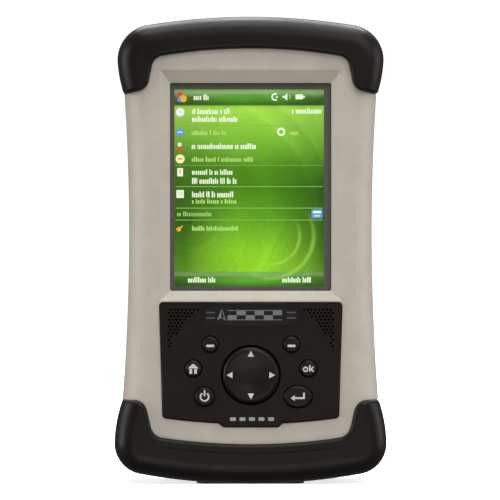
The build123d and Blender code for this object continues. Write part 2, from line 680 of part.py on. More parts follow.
with BuildPart() as charge_jack:
    with BuildSketch(Plane.XY.offset(2.9)):
        with Locations((JACK_X, PORT_Y)):
            Circle(4.2)
    extrude(amount=PORT_BOARD_Z - 2.9)
    with BuildSketch(Plane.XY.offset(2.9)):
        with Locations((JACK_X, PORT_Y)):
            Circle(JACK_BORE)
            Circle(0.95, mode=Mode.SUBTRACT)
    extrude(amount=5.4, mode=Mode.SUBTRACT)
save(charge_jack, "charge_jack")

# ---------------------------------------------------------------- seals and housing screws
with BuildPart() as housing_seal:
    with BuildSketch(facing(PARTING - 0.5)):
        add(core_outline(SEAL_OUTER))
        add(core_outline(SEAL_INNER), mode=Mode.SUBTRACT)
    extrude(amount=1.0)
save(housing_seal, "housing_seal")

with BuildPart() as card_bay_seal:
    with BuildSketch(Plane.XY.offset(150)):
        add(rectangle(-25.4, 25.4, -BAY_FRONT - 1.8, -BAY_FRONT + BAY_THICKNESS + 1.8))
        add(
            rectangle(
                -CARD_WIDTH / 2 - BAY_WALL,
                CARD_WIDTH / 2 + BAY_WALL,
                -BAY_FRONT,
                -BAY_FRONT + BAY_THICKNESS,
            ),
            mode=Mode.SUBTRACT,
        )
    extrude(amount=4.9)
    with BuildSketch(facing(-30)):
        add(top_zone())
    extrude(amount=60, mode=Mode.INTERSECT)
save(card_bay_seal, "card_bay_seal")

with BuildPart() as housing_screws:
    with BuildSketch(facing(SEAT_FRONT)):
        add(discs(HOUSING_SCREWS, 2.4))
    extrude(amount=-1.6)
    with BuildSketch(facing(SEAT_FRONT)):
        add(discs(HOUSING_SCREWS, 1.2))
    extrude(amount=12 - SEAT_FRONT)
    with BuildSketch(facing(-17.1)):
        with Locations(*HOUSING_SCREWS):
            RegularPolygon(1.2, 6)
    extrude(amount=-1, mode=Mode.SUBTRACT)
save(housing_screws, "housing_screws")


def captive_screws(places, seat, tip, label):
    """Slotted captive screws along Z. Their heads stand on the seat, away from the tips."""
    out = 1 if seat > tip else -1
    with BuildPart() as screws:
        with BuildSketch(Plane.XY.offset(seat)):
            add(discs(places, CAPTIVE_HEAD))
        extrude(amount=2.2 * out)
        chamfer(screws.edges().group_by(Axis.Z)[-1 if out > 0 else 0], 0.3)
        with BuildSketch(Plane.XY.offset(seat)):
            add(discs(places, CAPTIVE_SHANK))
        extrude(amount=tip - seat)
        with BuildSketch(Plane.XY.offset(seat + 1.2 * out)):
            with Locations(*places):
                Rectangle(0.8, 6)
        extrude(amount=2 * out, mode=Mode.SUBTRACT)
    save(screws, label)


captive_screws(top_screws, CAP_ROOF, 141, "top_screws")
captive_screws(bottom_screws, CASE_BOTTOM, 18, "bottom_screws")

# ---------------------------------------------------------------- display stack
with BuildPart() as screen_gasket:
    with BuildSketch(facing(15.0)):
        add(rounded_window(31.0, TRAY_BOTTOM + 0.6, TRAY_TOP - 0.6, 1))
        add(
            rounded_window(DISPLAY_HALF_WIDTH, DISPLAY_BOTTOM, DISPLAY_TOP, 0.3, DISPLAY_X),
            mode=Mode.SUBTRACT,
        )
    extrude(amount=CAVITY_FRONT - 15.0)
save(screen_gasket, "screen_gasket")

with BuildPart() as touch_panel:
    with BuildSketch(facing(13.8)):
        add(rounded_window(31.0, TRAY_BOTTOM + 0.6, TRAY_TOP - 0.6, 1))
    extrude(amount=1.2)
save(touch_panel, "touch_panel")

with BuildPart() as display_panel:
    with BuildSketch(facing(TRAY_BACK + TRAY_WALL)):
        add(rectangle(-30, 30, TRAY_BOTTOM + 1.5, TRAY_TOP - 1.5))
    extrude(amount=13.8 - TRAY_BACK - TRAY_WALL)
save(display_panel, "display_panel")

with BuildPart() as display_frame:
    with BuildSketch(facing(TRAY_BACK)):
        add(rounded_window(TRAY_HALF_WIDTH, TRAY_BOTTOM, TRAY_TOP, 1.6))
    extrude(amount=CAVITY_FRONT - TRAY_BACK)
    with BuildSketch(facing(TRAY_BACK + TRAY_WALL)):
        add(
            rounded_window(
                TRAY_HALF_WIDTH - TRAY_WALL, TRAY_BOTTOM + TRAY_WALL, TRAY_TOP - TRAY_WALL, 1.2
            )
        )
    extrude(amount=10, mode=Mode.SUBTRACT)
    with BuildSketch(facing(BOARD_FRONT)):
        add(discs([(x, z) for x in (-27, 27) for z in (72, 138)], 1.5))
    extrude(amount=TRAY_BACK - BOARD_FRONT)
save(display_frame, "display_frame")

# ---------------------------------------------------------------- keypad
with BuildPart() as keypad_plate:
    with BuildSketch(facing(PLATE_BACK)):
        add(keypad_outline())
    extrude(amount=PLATE_FRONT - PLATE_BACK)
    front_edges = keypad_plate.edges().filter_by(lambda e: abs(e.center().Y + PLATE_FRONT) < 0.01)
    chamfer(front_edges, 0.5)
    # the grille corners lie a little lower than the middle
    with BuildSketch(facing(PLATE_FRONT - 0.35)):
        add(grille_corners(GRILLE_ARC_RADIUS, 0))
    extrude(amount=1, mode=Mode.SUBTRACT)
    with BuildSketch(facing(PLATE_FRONT - 0.3)):
        with Locations((0, (BADGE_LOW + BADGE_HIGH) / 2)):
            Rectangle(BADGE_WIDTH + 0.1, BADGE_HIGH - BADGE_LOW + 0.1)
        with Locations(KEYS["power_key"][:2]):
            Circle(KEYS["power_key"][2] + 1.2)
    extrude(amount=1, mode=Mode.SUBTRACT)
    with BuildSketch(facing(PLATE_BACK)):
        for name in KEYS:
            add(key_shape(name, KEY_GAP))
        add(discs([(PAD_X, PAD_Z)], PAD_RADIUS + PAD_GAP))
        add(discs(grille_places(-1) + grille_places(1), GRILLE_RADIUS))
    extrude(amount=4, mode=Mode.SUBTRACT)
save(keypad_plate, "keypad_plate")

with BuildPart() as grille_meshes:
    with BuildSketch(facing(PLATE_BACK - 0.2)):
        add(grille_corners(GRILLE_ARC_RADIUS, PLATE_LEDGE + 0.2))
    extrude(amount=0.2)
save(grille_meshes, "grille_meshes")

with BuildPart() as badge_plate:
    with BuildSketch(facing(PLATE_FRONT - 0.3)):
        with Locations((0, (BADGE_LOW + BADGE_HIGH) / 2)):
            Rectangle(BADGE_WIDTH, BADGE_HIGH - BADGE_LOW)
    extrude(amount=0.45)
save(badge_plate, "badge_plate")

with BuildPart() as keypad_membrane:
    with BuildSketch(facing(KEY_BOARD_FRONT)):
        add(keypad_outline(PLATE_LEDGE + 0.2))
        for side in (-1, 1):
            with Locations((side * 29.4, 59.4)):
                Rectangle(20, 20, mode=Mode.SUBTRACT)
        places = [KEYS[name][:2] for name in KEYS]
        add(discs(places, DOME_RADIUS + 0.25), mode=Mode.SUBTRACT)
        add(discs([(PAD_X, PAD_Z)], PAD_RADIUS), mode=Mode.SUBTRACT)
    extrude(amount=MEMBRANE_FRONT - KEY_BOARD_FRONT)
save(keypad_membrane, "keypad_membrane")

with BuildPart() as keypad_board:
    with BuildSketch(facing(KEY_BOARD_BACK)):
        add(rectangle(-32, 32, 19.5, 49.0))
        add(rectangle(-19, 19, 49.0, 63.2))
    extrude(amount=KEY_BOARD_FRONT - KEY_BOARD_BACK)
save(keypad_board, "keypad_board")

switch_places = [KEYS[name][:2] for name in KEYS]
pad_nubs = [
    (PAD_X + PAD_SWITCH_RADIUS * dx, PAD_Z + PAD_SWITCH_RADIUS * dz)
    for dx, dz in ((1, 0), (-1, 0), (0, 1), (0, -1))
]
with BuildPart() as dome_switches:
    with BuildSketch(facing(KEY_BOARD_FRONT)):
        add(discs(switch_places + pad_nubs, DOME_RADIUS))
    extrude(amount=DOME_HEIGHT)
    front_edges = dome_switches.edges().filter_by(
        lambda e: abs(e.center().Y + KEY_BOARD_FRONT + DOME_HEIGHT) < 0.01
    )
    chamfer(front_edges, 0.3)
save(dome_switches, "dome_switches")


def make_key(name):
    """A domed key cap with a flange behind the plate and a stem over its switch."""
    x, z, half_width, half_height = KEYS[name]
    flange_front = PLATE_BACK - 0.1
    with BuildPart() as key:
        with BuildSketch(facing(flange_front - 1.0)):
            add(key_shape(name, KEY_FLANGE))
        extrude(amount=1.0)
        with BuildSketch(facing(flange_front)):
            add(key_shape(name))
        extrude(amount=KEY_FRONT - flange_front)
        crown = key.edges().filter_by(lambda e: abs(e.center().Y + KEY_FRONT) < 0.01)
        fillet(crown, 1.1)
        with BuildSketch(facing(KEY_STEM_BACK)):
            add(discs([(x, z)], 1.6))
        extrude(amount=flange_front - 1.0 - KEY_STEM_BACK)
    save(key, name)


for key_name in KEYS:
    make_key(key_name)

# The direction pad rocks on a small cross, so that it tips up, down, left and right.
PAD_PLANE = Plane(origin=(PAD_X, 0, PAD_Z), x_dir=(1, 0, 0), z_dir=(0, 0, 1))
with BuildPart() as direction_pad:
    with BuildSketch(PAD_PLANE):
        with BuildLine():
            face = Spline((0, -20.5), (3.2, -20.6), (7.4, -21.35), tangents=((1, 0), (1, -0.12)))
            rim = ThreePointArc(face @ 1, (9.45, -20.95), (PAD_RADIUS, -19.8))
            Polyline(rim @ 1, (PAD_RADIUS, -17.6), (4.6, -17.6), (4.6, -19.3), (0, -19.3), (0, -20.5))
        make_face()
    revolve(axis=Axis((PAD_X, 0, PAD_Z), (0, 1, 0)))
    with BuildSketch(facing(16.3)):
        for side in (-1, 1):
            with Locations((PAD_X + 3 * side, PAD_Z)):
                Rectangle(1.0, 2.4)
    extrude(amount=3.1)
    with BuildSketch(Plane.YZ.offset(-5)):
        with Locations((-PAD_PIVOT_FRONT, PAD_Z)):
            Circle(0.55)
    extrude(amount=10, mode=Mode.SUBTRACT)
    with BuildSketch(facing(16.45)):
        add(discs(pad_nubs, 1.2))
    extrude(amount=1.3)
save(direction_pad, "direction_pad")

with BuildPart() as pad_yoke:
    with BuildSketch(facing(KEY_BOARD_FRONT)):
        add(discs([(PAD_X, PAD_Z)], 4.4))
    extrude(amount=0.5)
    with BuildSketch(facing(KEY_BOARD_FRONT + 0.5)):
        for side in (-1, 1):
            with Locations((PAD_X, PAD_Z + 3 * side)):
                Rectangle(2.4, 1.0)
    extrude(amount=2.1)
    with BuildSketch(Plane.XY.offset(PAD_Z - 5)):
        add(discs([(PAD_X, -PAD_PIVOT_FRONT)], 0.55))
    extrude(amount=10, mode=Mode.SUBTRACT)
save(pad_yoke, "pad_yoke")

with BuildPart() as pad_spider:
    with BuildSketch(Plane.XY.offset(PAD_Z - 3.4)):
        add(discs([(PAD_X, -PAD_PIVOT_FRONT)], 0.5))
    extrude(amount=6.8)
    with BuildSketch(Plane.YZ.offset(PAD_X - 3.4)):
        add(discs([(-PAD_PIVOT_FRONT, PAD_Z)], 0.5))
    extrude(amount=6.8)
    with BuildSketch(facing(PAD_PIVOT_FRONT - 0.8)):
        with Locations((PAD_X, PAD_Z)):
            Rectangle(1.8, 1.8)
    extrude(amount=1.6)
save(pad_spider, "pad_spider")

# ---------------------------------------------------------------- sound
for label, side, radius in (("speaker", -1, 5.2), ("microphone", 1, 3.0)):
    with BuildPart() as capsule:
        with BuildSketch(facing(CAVITY_FRONT - 0.6)):
            with Locations((side * SOUND_X, SOUND_Z)):
                RectangleRounded(12.4, 12.4, 1.5)
        extrude(amount=0.6)
        with BuildSketch(facing(11.8)):
            with Locations((side * SOUND_X, SOUND_Z)):
                Circle(radius)
        extrude(amount=CAVITY_FRONT - 0.6 - 11.8)
    save(capsule, label)

# ---------------------------------------------------------------- boards
with BuildPart() as main_board:
    with BuildSketch(facing(BOARD_BACK)):
        add(rounded_window(BOARD_HALF_WIDTH, BOARD_BOTTOM, BOARD_TOP, 1.5))
    extrude(amount=BOARD_FRONT - BOARD_BACK)
save(main_board, "main_board")


def board_block(label, outlines, thickness, corner=0.0):
    """Rectangles (left, right, low, high) standing on the back of the main board."""
    with BuildPart() as block:
        with BuildSketch(facing(BOARD_BACK)):
            for outline in outlines:
                add(rectangle(*outline))
        extrude(amount=-thickness)
        if corner:
            fillet(block.edges().filter_by(Axis.Y), corner)
    save(block, label)


board_block("shield_cans", [(-14, 14, 92, 114), (-28, -10, 66, 84)], 2.4, 1.5)
board_block("memory_chips", [(x, x + 7, z, z + 9) for x in (-25, 18) for z in (92, 104)], 1.1)

with BuildPart() as board_connectors:
    with BuildSketch(facing(BOARD_FRONT)):  # to the display
        add(rectangle(-10, 10, 68, 71))
    extrude(amount=TRAY_BACK - BOARD_FRONT)
    with BuildSketch(facing(BOARD_FRONT)):  # to the keypad
        add(rectangle(-9, 9, 54, 59))
    extrude(amount=KEY_BOARD_BACK - BOARD_FRONT)
    with BuildSketch(facing(BAY_FRONT)):  # to the card bay
        add(rectangle(-20, 20, 124, 128))
    extrude(amount=BOARD_BACK - BAY_FRONT)
save(board_connectors, "board_connectors")

with BuildPart() as antenna:
    with BuildSketch(Plane.YZ.offset(-CORE_HALF_WIDTH + WALL)):
        add(rectangle(-12, -5, 98, 124))
    extrude(amount=0.8)
save(antenna, "antenna")

with BuildPart() as dock_connector:
    with BuildSketch(Plane.XY.offset(CORE_BOTTOM)):
        add(rectangle(-DOCK_HALF_WIDTH, DOCK_HALF_WIDTH, -DOCK_FRONT, -DOCK_BACK))
        add(discs(contacts, 0.6), mode=Mode.SUBTRACT)
    extrude(amount=DOCK_TOP - CORE_BOTTOM)
    with BuildSketch(Plane.XY.offset(DOCK_TOP)):  # its flex tail runs up to the main board
        add(rectangle(-6, 6, -7.3, -7.0))
    extrude(amount=BOARD_BOTTOM - DOCK_TOP)
save(dock_connector, "dock_connector")

with BuildPart() as dock_pins:
    with BuildSketch(Plane.XY.offset(CASE_BOTTOM + CASE_FLOOR + 0.05)):
        add(discs(contacts, 0.55))
    extrude(amount=DOCK_TOP - CASE_BOTTOM - CASE_FLOOR - 0.05)
save(dock_pins, "dock_pins")

# ---------------------------------------------------------------- card bay
with BuildPart() as card_bay:
    bay_bottom = BAY_TOP - CARD_DEPTH - BAY_FLOOR
    half = CARD_WIDTH / 2 + BAY_WALL
    with BuildSketch(Plane.XY.offset(bay_bottom)):
        add(rectangle(-half, half, -BAY_FRONT, -BAY_FRONT + BAY_THICKNESS))
    extrude(amount=BAY_TOP - bay_bottom)
    with BuildSketch(Plane.XY.offset(BAY_TOP - CARD_DEPTH)):
        for slot in (0, 1):
            low = -BAY_FRONT + BAY_WALL + slot * (CARD_THICKNESS + BAY_WEB)
            add(rectangle(-CARD_WIDTH / 2, CARD_WIDTH / 2, low, low + CARD_THICKNESS))
    extrude(amount=CARD_DEPTH, mode=Mode.SUBTRACT)
    # foot against the rear housing
    with BuildSketch(Plane.XY.offset(bay_bottom)):
        add(rectangle(-20, 20, -BAY_FRONT + BAY_THICKNESS, -CAVITY_BACK))
    extrude(amount=4)
save(card_bay, "card_bay")

with BuildPart() as card_contacts:
    for slot in (0, 1):
        middle = -BAY_FRONT + BAY_WALL + CARD_THICKNESS / 2 + slot * (CARD_THICKNESS + BAY_WEB)
        with BuildSketch(Plane.XY.offset(BAY_TOP - CARD_DEPTH)):
            with Locations((0, middle)):
                Rectangle(34, 4)
        extrude(amount=1.2)
        with BuildSketch(Plane.XY.offset(BAY_TOP - CARD_DEPTH + 1.2)):
            with Locations((0, middle)):
                with GridLocations(CONTACT_PITCH, 2.0, CONTACTS_PER_ROW, 2):
                    Rectangle(CONTACT_SIZE, CONTACT_SIZE)
        extrude(amount=CONTACT_LENGTH)
save(card_contacts, "card_contacts")

# ---------------------------------------------------------------- details on the back
with BuildPart() as vent_plug:
    with BuildSketch(facing(BODY_BACK + 1)):
        add(discs([(0, 70)], 2.5))
    extrude(amount=-1.2)
    fillet(vent_plug.edges().filter_by(lambda e: e.center().Y > 19.1), 0.3)
save(vent_plug, "vent_plug")

# ---------------------------------------------------------------- hand strap
bracket_heights = (STRAP_Z - STRAP_HALF_SPAN, STRAP_Z + STRAP_HALF_SPAN)
bracket_screw_places = [(x, z) for x in (-19.5, 19.5) for z in bracket_heights]

with BuildPart() as strap_brackets:
    with BuildSketch(facing(BODY_BACK)):
        for z in bracket_heights:
            with Locations((0, z)):
                RectangleRounded(44, 10, 2)
        add(discs(bracket_screw_places, 1.2), mode=Mode.SUBTRACT)
    extrude(amount=-2)
    for side in (-1, 1):
        with BuildSketch(Plane.YZ.offset(side * (LUG_IN + LUG_OUT) / 2)):
            for z in bracket_heights:
                with Locations((PIN_Y, z)):
                    Circle(3.1)
                add(rectangle(20, PIN_Y, z - 3.1, z + 3.1))
                with Locations((PIN_Y, z)):
                    Circle(PIN_RADIUS + 0.05, mode=Mode.SUBTRACT)
        extrude(amount=(LUG_OUT - LUG_IN) / 2, both=True)
save(strap_brackets, "strap_brackets")

with BuildPart() as bracket_screws:
    with BuildSketch(facing(BODY_BACK - 2)):
        add(discs(bracket_screw_places, 1.9))
    extrude(amount=-1.2)
    fillet(bracket_screws.edges().group_by(Axis.Y)[-1], 0.4)
    with BuildSketch(facing(BODY_BACK - 2)):
        add(discs(bracket_screw_places, 1.05))
    extrude(amount=5.5)
    with BuildSketch(facing(BODY_BACK - 2.5)):
        with Locations(*bracket_screw_places):
            RegularPolygon(0.9, 6)
    extrude(amount=-1, mode=Mode.SUBTRACT)
save(bracket_screws, "bracket_screws")

with BuildPart() as strap_pins:
    with BuildSketch(Plane.YZ.offset(-LUG_OUT - 0.6)):
        add(discs([(PIN_Y, z) for z in bracket_heights], PIN_RADIUS))
    extrude(amount=2 * (LUG_OUT + 0.6))
save(strap_pins, "strap_pins")


def strap_band(inner, outer, half_angle):
    """Side view (local x along Y) of a curved band that bows away from the back."""
    with BuildSketch() as band:
        with Locations((STRAP_AXIS_Y, STRAP_Z)):
            Circle(outer)
            Circle(inner, mode=Mode.SUBTRACT)
        with BuildLine():
            far_y = STRAP_AXIS_Y + 2 * STRAP_RADIUS * cos(radians(half_angle))
            rise = 2 * STRAP_RADIUS * sin(radians(half_angle))
            Polyline((STRAP_AXIS_Y, STRAP_Z), (far_y, STRAP_Z + rise), (far_y, STRAP_Z - rise), close=True)
        make_face(mode=Mode.INTERSECT)
    return band.sketch


with BuildPart() as strap_webbing:
    with BuildSketch(Plane.YZ.offset(-STRAP_HALF_WIDTH)):
        add(strap_band(STRAP_RADIUS - WEBBING / 2, STRAP_RADIUS + WEBBING / 2, STRAP_ANGLE))
        add(discs([(PIN_Y, z) for z in bracket_heights], PIN_RADIUS + 0.1 + WEBBING))
        add(discs([(PIN_Y, z) for z in bracket_heights], PIN_RADIUS + 0.1), mode=Mode.SUBTRACT)
    extrude(amount=2 * STRAP_HALF_WIDTH)
save(strap_webbing, "strap_webbing")

with BuildPart() as strap_pad:
    with BuildSketch(Plane.YZ.offset(-PAD_HALF_WIDTH)):
        inside = STRAP_RADIUS - WEBBING / 2
        add(strap_band(inside - PAD_THICKNESS, inside, PAD_ANGLE))
    extrude(amount=2 * PAD_HALF_WIDTH)
    fillet(strap_pad.edges().filter_by(lambda e: e.length > 5), 1.2)
save(strap_pad, "strap_pad")

with BuildPart() as stylus_loops:
    for z in STYLUS_LOOPS:
        with BuildSketch(Plane.XY.offset(z - LOOP_HEIGHT / 2)):
            with Locations((STYLUS_X, STYLUS_Y)):
                Circle(LOOP_OUTER)
            add(rectangle(PAD_HALF_WIDTH, STYLUS_X, STYLUS_Y - 0.6, STYLUS_Y + 0.6))
            with Locations((STYLUS_X, STYLUS_Y)):
                Circle(LOOP_BORE, mode=Mode.SUBTRACT)
        extrude(amount=LOOP_HEIGHT)
save(stylus_loops, "stylus_loops")

STYLUS_PLANE = Plane(origin=(STYLUS_X, STYLUS_Y, 0), x_dir=(1, 0, 0), z_dir=(0, -1, 0))
STYLUS_AXIS = Axis((STYLUS_X, STYLUS_Y, 0), (0, 0, 1))
collar = STYLUS_LOOPS[1] + LOOP_HEIGHT / 2 + 0.1
with BuildPart() as stylus_barrel:
    with BuildSketch(STYLUS_PLANE):
        with BuildLine():
            Polyline(
                (0, TIP_ROOT),
                (2.4, TIP_ROOT),
                (STYLUS_RADIUS, TIP_ROOT + 3),
                (STYLUS_RADIUS, collar),
                (4.0, collar),
                (4.0, collar + 2.2),
                (STYLUS_RADIUS, collar + 3.2),
                (STYLUS_RADIUS, STYLUS_TOP - 1.2),
                (STYLUS_RADIUS - 1.2, STYLUS_TOP),
                (0, STYLUS_TOP),
                close=True,
            )
        make_face()
    revolve(axis=STYLUS_AXIS)
save(stylus_barrel, "stylus_barrel")

with BuildPart() as stylus_tip:
    with BuildSketch(STYLUS_PLANE):
        with BuildLine():
            Polyline(
                (0, STYLUS_BOTTOM),
                (0.5, STYLUS_BOTTOM),
                (2.2, TIP_ROOT),
                (0, TIP_ROOT),
                close=True,
            )
        make_face()
    revolve(axis=STYLUS_AXIS)
save(stylus_tip, "stylus_tip")
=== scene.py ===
import math
import random

import bmesh
import bpy
from mathutils import Matrix, Vector
from mathutils.bvhtree import BVHTree


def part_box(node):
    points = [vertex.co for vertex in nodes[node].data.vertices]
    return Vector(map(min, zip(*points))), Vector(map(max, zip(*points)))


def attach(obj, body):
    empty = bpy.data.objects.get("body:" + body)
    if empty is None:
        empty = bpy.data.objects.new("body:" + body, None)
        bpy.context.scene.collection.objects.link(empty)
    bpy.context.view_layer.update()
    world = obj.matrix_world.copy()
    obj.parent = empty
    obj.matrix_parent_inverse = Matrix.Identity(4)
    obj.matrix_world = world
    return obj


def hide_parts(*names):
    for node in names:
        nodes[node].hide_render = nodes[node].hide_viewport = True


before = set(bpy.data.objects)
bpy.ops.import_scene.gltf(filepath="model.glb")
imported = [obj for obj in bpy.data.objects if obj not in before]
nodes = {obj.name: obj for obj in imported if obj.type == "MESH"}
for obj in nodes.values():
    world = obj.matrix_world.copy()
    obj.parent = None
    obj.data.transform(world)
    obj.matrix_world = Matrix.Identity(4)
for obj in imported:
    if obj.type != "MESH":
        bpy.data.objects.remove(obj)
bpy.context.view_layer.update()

MM = 0.001

# ---------------------------------------------------------------- camera, light and stage
FRAME_HEIGHT = 0.1785  # height of the picture at the object, in metres
CAMERA_DISTANCE = 1.5
CAMERA_AZIMUTH, CAMERA_ELEVATION = -0.8, 0.4  # degrees
SENSOR = 36.0
LAMP_TARGET = (0.0, 0.0, 0.08)  # the lamps look at the middle of the object
WORLD_STRENGTH = 0.22
FLOOR_LIFT = 0.75  # how strongly the paper glows of itself
FLOOR_GAP = 0.0001  # the floor is this far under the foot
FLOOR_RADIUS = 2.0  # the paper is flat as far as this, in metres
FLOOR_CURVE = 1.0  # radius of its curve up into the wall
WALL_TOP = 4.0


def look_from(obj, target, azimuth, elevation, distance):
    """Places obj round the target, looking at it. Azimuth 0 looks along +Y."""
    a, e = math.radians(azimuth), math.radians(elevation)
    away = Vector((math.sin(a) * math.cos(e), -math.cos(a) * math.cos(e), math.sin(e)))
    obj.location = target + away * distance
    obj.rotation_euler = (-away).to_track_quat("-Z", "Y").to_euler()


def make_camera():
    """A long lens straight in front, level with the middle of the object."""
    data = bpy.data.cameras.new("camera")
    data.sensor_width = SENSOR
    data.lens = SENSOR * CAMERA_DISTANCE / FRAME_HEIGHT
    camera = bpy.data.objects.new("camera", data)
    bpy.context.collection.objects.link(camera)
    middle = Vector((0.0, 0.0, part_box("top_boot")[1][2] / 2))
    look_from(camera, middle, CAMERA_AZIMUTH, CAMERA_ELEVATION, CAMERA_DISTANCE)
    bpy.context.scene.camera = camera


def area_light(name, azimuth, elevation, distance, size, power):
    """A soft white rectangular lamp: angles in degrees, size in metres, power in watts."""
    data = bpy.data.lights.new(name, "AREA")
    data.shape = "RECTANGLE"
    data.size, data.size_y = size
    data.energy = power
    light = bpy.data.objects.new(name, data)
    bpy.context.collection.objects.link(light)
    look_from(light, Vector(LAMP_TARGET), azimuth, elevation, distance)


def make_stage():
    """A pale floor that curves up into a wall behind, all round the object."""
    mesh = bpy.data.meshes.new("floor")
    bm = bmesh.new()
    profile = [(0.6 * FLOOR_RADIUS, 0.0), (FLOOR_RADIUS, 0.0)]
    for t in range(15, 91, 15):
        a = math.radians(t)
        profile.append((FLOOR_RADIUS + FLOOR_CURVE * math.sin(a), FLOOR_CURVE * (1 - math.cos(a))))
    profile.append((FLOOR_RADIUS + FLOOR_CURVE, WALL_TOP))
    turns = 96
    rings = []
    for radius, height in profile:
        ring = []
        for i in range(turns):
            angle = 2 * math.pi * i / turns
            ring.append(bm.verts.new((radius * math.cos(angle), radius * math.sin(angle), height)))
        rings.append(ring)
    bm.faces.new(rings[0])
    for low, high in zip(rings, rings[1:]):
        for i in range(turns):
            j = (i + 1) % turns
            bm.faces.new((low[i], high[i], high[j], low[j]))
    for face in bm.faces:
        face.smooth = True
    bm.to_mesh(mesh)
    bm.free()
    floor = bpy.data.objects.new("floor", mesh)
    bpy.context.collection.objects.link(floor)
    mesh.materials.append(floor_material())
    # the paper is only a backdrop: it neither lights the object nor hides it from the lamps
    floor.visible_diffuse = False
    floor.visible_glossy = False
    floor.visible_shadow = False
    floor.location.z = -FLOOR_GAP


def make_world():
    """An even, weak white light from everywhere."""
    world = bpy.data.worlds.new("studio")
    bpy.context.scene.world = world
    world.use_nodes = True
    background = world.node_tree.nodes["Background"]
    background.inputs["Color"].default_value = (1, 1, 1, 1)
    background.inputs["Strength"].default_value = WORLD_STRENGTH


# ---------------------------------------------------------------- materials
class Graph:
    """A small helper that builds one material's node tree."""

    def __init__(self, name):
        self.material = bpy.data.materials.new(name)
        self.material.use_nodes = True
        self.tree = self.material.node_tree
        self.tree.nodes.clear()
        self.output = self.tree.nodes.new("ShaderNodeOutputMaterial")
        self.coordinates = self.tree.nodes.new("ShaderNodeTexCoord")

    def node(self, kind, inputs=None, **settings):
        """Adds a shader node. Each input is a value or the output of another node."""
        made = self.tree.nodes.new("ShaderNode" + kind)
        for key, value in settings.items():
            setattr(made, key, value)
        for key, value in (inputs or {}).items():
            if isinstance(value, bpy.types.NodeSocket):
                self.tree.links.new(value, made.inputs[key])
            else:
                made.inputs[key].default_value = value
        return made

    def place(self, scale):
        """Object coordinates in millimetres, divided by scale."""
        factor = 1000.0 / scale
        moved = self.node("Mapping", {"Vector": self.coordinates.outputs["Object"]})
        moved.inputs["Scale"].default_value = (factor, factor, factor)
        return moved.outputs["Vector"]

    def noise(self, grain_mm, detail=2.0, roughness=0.5):
        """Noise with grains of about this size."""
        made = self.node(
            "TexNoise",
            {"Vector": self.place(grain_mm), "Scale": 1.0, "Detail": detail, "Roughness": roughness},
        )
        return made.outputs["Fac"]

    def ramp(self, factor, stops):
        """Colours along a factor, as (position, colour) stops."""
        made = self.node("ValToRGB", {"Fac": factor})
        elements = made.color_ramp.elements
        while len(elements) < len(stops):
            elements.new(0.5)
        for element, (position, colour) in zip(elements, stops):
            element.position = position
            element.color = (*colour, 1.0)
        return made.outputs["Color"]

    def grey_ramp(self, factor, low, high, start=0.3, end=0.7):
        """From low at start to high at end, as the factor rises."""
        return self.ramp(factor, [(start, (low, low, low)), (end, (high, high, high))])

    def math(self, operation, a, b=0.0, c=0.0, clamp=False):
        """One step of arithmetic on up to three values."""
        made = self.node("Math", {0: a, 1: b, 2: c}, operation=operation, use_clamp=clamp)
        return made.outputs[0]

    def mix(self, factor, a, b):
        """The colour a at factor 0, and b at factor 1."""
        made = self.node("Mix", data_type="RGBA")
        for index, value in ((0, factor), (6, a), (7, b)):
            socket = made.inputs[index]
            if isinstance(value, bpy.types.NodeSocket):
                self.tree.links.new(value, socket)
            else:
                colour = isinstance(value, tuple) and len(value) == 3
                socket.default_value = (*value, 1.0) if colour else value
        return made.outputs[2]

    def bump(self, height, strength, distance_mm, normal=None):
        """A normal bent by a height, over another normal if one is given."""
        inputs = {"Height": height, "Strength": strength, "Distance": distance_mm * MM}
        if normal is not None:
            inputs["Normal"] = normal
        return self.node("Bump", inputs).outputs["Normal"]

    def edge_wear(self, radius_mm=0.5):
        """About 0 on flat faces and rising towards 1 on convex edges."""
        bevel = self.node("Bevel", {"Radius": radius_mm * MM}, samples=4)
        flat = self.node("NewGeometry")
        normals = {0: bevel.outputs["Normal"], 1: flat.outputs["Normal"]}
        dot = self.node("VectorMath", normals, operation="DOT_PRODUCT")
        return self.math("MULTIPLY", self.math("SUBTRACT", 1.0, dot.outputs["Value"]), 4.0, clamp=True)

    def finish(self, shader):
        """Connects the shader and gives the finished material."""
        self.tree.links.new(shader, self.output.inputs["Surface"])
        return self.material

    def surface(self, **inputs):
        """A Principled surface. Underscores in the names of its inputs stand for spaces."""
        names = {key.replace("_", " "): value for key, value in inputs.items()}
        return self.finish(self.node("BsdfPrincipled", names).outputs["BSDF"])


def floor_material():
    """Seamless studio paper, lifted a little so that it stays white."""
    g = Graph("floor_white")
    paper = g.mix(g.noise(60.0), (0.86, 0.86, 0.86), (0.84, 0.84, 0.84))
    return g.surface(
        Base_Color=paper,
        Roughness=0.9,
        Specular_IOR_Level=0.1,
        Emission_Color=(1, 1, 1, 1),
        Emission_Strength=FLOOR_LIFT,
    )


